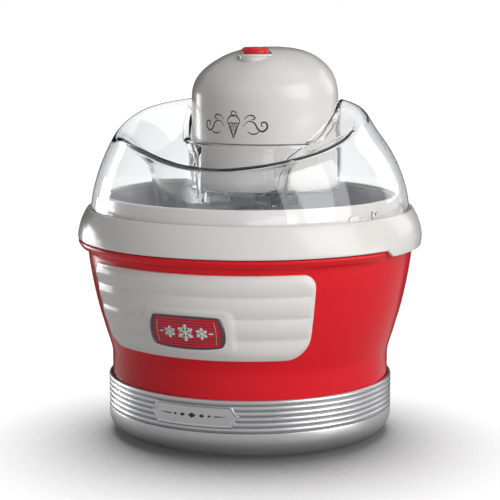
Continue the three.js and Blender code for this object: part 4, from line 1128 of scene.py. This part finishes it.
def spring():
    """Return spring under the button."""
    turns, steps, ring, reach, wire = 2.5, 120, 10, 6.0, 0.42
    verts = []
    for i in range(steps + 1):
        a = 2 * math.pi * turns * i / steps
        z = 238.5 + 5.2 * i / steps
        for k in range(ring):
            b = 2 * math.pi * k / ring
            r = reach + wire * math.cos(b)
            verts.append((r * math.cos(a), BUTTON_Y + r * math.sin(a), z + wire * math.sin(b)))
    ends = [tuple(range(ring))[::-1], tuple(steps * ring + k for k in range(ring))]
    coil = new_object("return_spring", verts, quads(steps + 1, ring, (False, True), True) + ends)
    finished(coil, "motor_unit", STEEL, "steel", "button_spring")
    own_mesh(coil)


def gland():
    profile = rounded([
        (3.5, 70.8), (6.2, 70.8, 0.4), (6.2, 76.4, 0.2), (7.6, 76.4, 0.5), (7.6, 78.4, 0.8), (5.6, 78.8, 0.4),
        (5.4, 80, 0.2), (4.9, 80.2, 0.2), (4.9, 80.9, 0.2), (5.3, 81.1, 0.2), (5.3, 82.3, 0.2), (4.9, 82.5, 0.2),
        (4.9, 83.2, 0.2), (5.3, 83.4, 0.2), (5.2, 86, 0.8), (3.5, 86, 0.3),
    ])
    finished(facing_back(lathe("cord_sleeve", profile, 64)), "motor_unit", BLACK, "black", "cord_gland")


def motor_base():
    low, high = MOTOR_BOTTOM, MOTOR_BOTTOM + 2.4
    disc = turned("motor_floor", [(0, low), (46, low, 0.5), (46, high, 0.5), (0, high)], 128, 0, MOTOR_Y)
    combine(disc, cylinder("hub", 9.5, WELL_TOP - 4.9, low + 4, sides=64, bevel=0.8))
    tools = [cylinder("bore", 6.3, 150, 172, sides=48)]
    for azimuth in BOSSES:
        x, y = about_motor(40.5, azimuth)
        combine(disc, cylinder("post", 4.2, 164.5, 184.7, x, y, 32))
        tools += [cylinder("hole", 1.7, 150, 190, x, y, 24), cylinder("head", 3.4, 150, 164.1, x, y, 32)]
    for k in range(7):
        half, y = 15 - 1.2 * abs(k - 3), 36 + 5 * k
        tools.append(box("slot", (-half, y, low - 2), (half, 37.8 + 5 * k, low + 1.2)))
    finished(cut(disc, *tools), "motor_unit", CREAM, "cream", "motor_base")
    for i, azimuth in enumerate(BOSSES):
        screw(f"cover_screw_head_{i + 1}", *about_motor(40.5, azimuth), low, low + 1.1, 198, 3.0, 1.3, "motor_unit",
              f"cover_screw_{i + 1}")


def shaft():
    """Output shaft with the tang that turns the paddle."""
    profile = [(0, 147.5), (4, 147.5, 0.6), (4, 167.6, 0.2), (3.3, 167.6), (3.3, 175, 0.5), (0, 175)]
    body = turned("drive_shaft", profile, 48)
    wings = box("wings", (-5.6, -1.8, 133), (5.6, 1.8, 146), 0.5)
    combine(body, box("tang", (-2.2, -2, 133), (2.2, 2, 148), 0.3), wings)
    finished(body, "output_drive", STEEL, "steel", "output_shaft")
    bush = tube("bush_ring", 4.3, 6, WELL_TOP - 4.9, MOTOR_BOTTOM + 4, sides=64, bevel=0.35)
    finished(bush, "motor_unit", BRONZE, "bronze", "output_bush")


def dress(node, material):
    """Gives a CAD node that keeps its shape its finished material."""
    obj = frame["nodes"][node]
    for index in range(max(1, len(obj.material_slots))):
        if not obj.material_slots:
            obj.data.materials.append(material)
        obj.material_slots[index].link = "OBJECT"
        obj.material_slots[index].material = material


def inner_works():
    """The closed-in mechanism keeps its CAD shapes."""
    finishes = {
        STEEL: "gearbox_plate motor_clamp reduction_axle motor_shaft clamp_screw_1 clamp_screw_2",
        NYLON: "output_gear reduction_gear motor_pinion",
        CAN_STEEL: "drive_motor",
        BLACK: "power_switch",
    }
    for material, nodes in finishes.items():
        for node in nodes.split():
            dress(node, material)


# ---- studio and camera
def area_light(name, azimuth, elevation, distance, width, height, power, aim, *hidden):
    """Soft panel that looks at a point of the axis; hidden names the kinds of ray that don't see it."""
    data = bpy.data.lights.new(name, "AREA")
    data.shape = "RECTANGLE"
    data.size, data.size_y, data.energy = width, height, power
    obj = bpy.data.objects.new(name, data)
    aim = Vector((0, 0, aim))
    obj.location = aim + Vector(polar(math.cos(elevation * DEG), azimuth, math.sin(elevation * DEG))) * distance
    obj.rotation_euler = (aim - obj.location).to_track_quat("-Z", "Y").to_euler()
    bpy.context.collection.objects.link(obj)
    hide(obj, *hidden)


def world():
    """White straight on and through the lid, half as bright in mirrors, dim as light."""
    n = Nodes("studio", "worlds")
    bpy.context.scene.world = n.owner
    light = n.tree.nodes["Background"]
    n.feed(light, {"Color": (0.95, 0.97, 1, 1), "Strength": 0.11})
    mirrored = n.add("Background", {"Color": (0.97, 0.98, 1, 1), "Strength": 0.5})
    seen = n.add("Background", {"Color": (1, 1, 1, 1), "Strength": 1.0})
    glossy = n.add("LightPath").outputs["Is Glossy Ray"]
    first = n.add("MixShader", {"Fac": glossy, 1: light.outputs[0], 2: mirrored.outputs[0]})
    second = n.add("MixShader", {"Fac": n.straight_seen(), 1: first.outputs[0], 2: seen.outputs[0]})
    n.feed(n.tree.nodes["World Output"], {"Surface": second.outputs[0]})


def studio():
    bpy.context.scene.view_settings.view_transform = "Standard"
    world()
    n = Nodes("studio_floor")
    pale = n.drift(3, 3, (0.13, 0.13, 0.13), (0.15, 0.15, 0.15))
    n.finish(pale, n.ranged(n.noise(25, 3), 0.75, 0.85), Specular_IOR_Level=0.1)
    lean = n.add("CombineXYZ", {0: -0.15, 1: 0.37, 2: 0.917})  # the painted shadow falls to the front and the left
    # Painted shadow: the floor's glow is dimmed where ambient occlusion finds the object near, straight on and in
    # mirrors.
    sky = n.add("AmbientOcclusion", {"Distance": 0.4, "Normal": lean.outputs[0]}, samples=16).outputs["AO"]
    glow_with_painted_shadow, mirrored = n.ranged(sky, 0.05, 1.04, 0.42, 0.9), n.ranged(sky, 0.01, 0.42, 0.42, 0.92)
    glow = n.add("Emission", {"Color": (1, 1, 1, 1), "Strength": n.ranged(n.straight_seen(), mirrored, glow_with_painted_shadow, 0, 1)})
    added = n.add("AddShader", {0: n.shader.outputs[0], 1: glow.outputs[0]})
    n.feed(n.tree.nodes["Material Output"], {"Surface": added.outputs[0]})
    far = 200000
    corners = [(-far, -far, 0), (far, -far, 0), (far, far, 0), (-far, far, 0)]
    floor = new_object("floor", corners, [(0, 1, 2, 3)])
    floor.data.materials.append(n.owner)

    for row in (
        ("key", 66, 26, 1.5, 1.0, 1.2, 16, 0.13, "glossy"),
        ("softbox_right", 79, 25, 1.5, 1.0, 1.25, 9.5, 0.13, "diffuse"),
        ("strip_left", -105, 12, 1.4, 0.3, 1.1, 2.0, 0.13, "glossy"),
        ("low_front", 38, 2, 1.6, 1.0, 0.5, 3.5, 0.13, "glossy"),
        ("edge_left", -106, 0, 1.2, 0.36, 0.26, 1.5, 0.13, "diffuse"),
        ("low_left", -96, 0, 0.45, 0.25, 0.14, 0.4, 0.076, "diffuse", "camera", "transmission"),
        ("low_right", 92, 0, 0.6, 0.36, 0.14, 0.5, 0.076, "diffuse", "camera", "transmission"),
        ("top_panel", 160, 76, 1.7, 1.2, 1.2, 4, 0.13),
        ("rear_right", 150, 20, 1.7, 0.8, 1.0, 3, 0.13),
    ):
        area_light(*row)

    n = Nodes("dark_card")
    dark = n.drift(20, 3, (0.01, 0.01, 0.012), (0.02, 0.02, 0.022))
    n.finish(dark, n.ranged(n.noise(40, 3), 0.85, 0.95))
    verts, faces = [], []
    for k, azimuth in enumerate(range(157, 249, 7)):
        verts += [polar(r, azimuth, z) for r, z in ((150, 0.5), (900, 0.5), (900, 650))]
        if k:
            faces += [(3 * k - 3, 3 * k, 3 * k + 1, 3 * k - 2), (3 * k - 2, 3 * k + 1, 3 * k + 2, 3 * k - 1)]
    card = new_object("dark_card", verts, faces)
    card.data.materials.append(n.owner)
    hide(card, "camera", "transmission", "diffuse", "shadow")


def camera():
    """The photograph's view: 8.5 degrees down on the object, its front turned 22.5 degrees to the left."""
    azimuth, distance, height, tilt = 22.5, 1080, 280.1, 81.49
    data = bpy.data.cameras.new("camera")
    data.lens, data.sensor_width, data.clip_end = 119.4, 36, 100
    obj = bpy.data.objects.new("camera", data)
    obj.location = Vector(polar(distance, azimuth, height)) * MM
    obj.rotation_euler = (tilt * DEG, 0, azimuth * DEG)
    bpy.context.collection.objects.link(obj)
    bpy.context.scene.camera = obj


camera()
studio()
outer_body()
front_panel()
badge()
base_ring()
name_plate()
feet_and_screws()
bowl()
paddle()
locking_ring()
lid()
motor_cover()
button()
spring()
gland()
motor_base()
shaft()
inner_works()
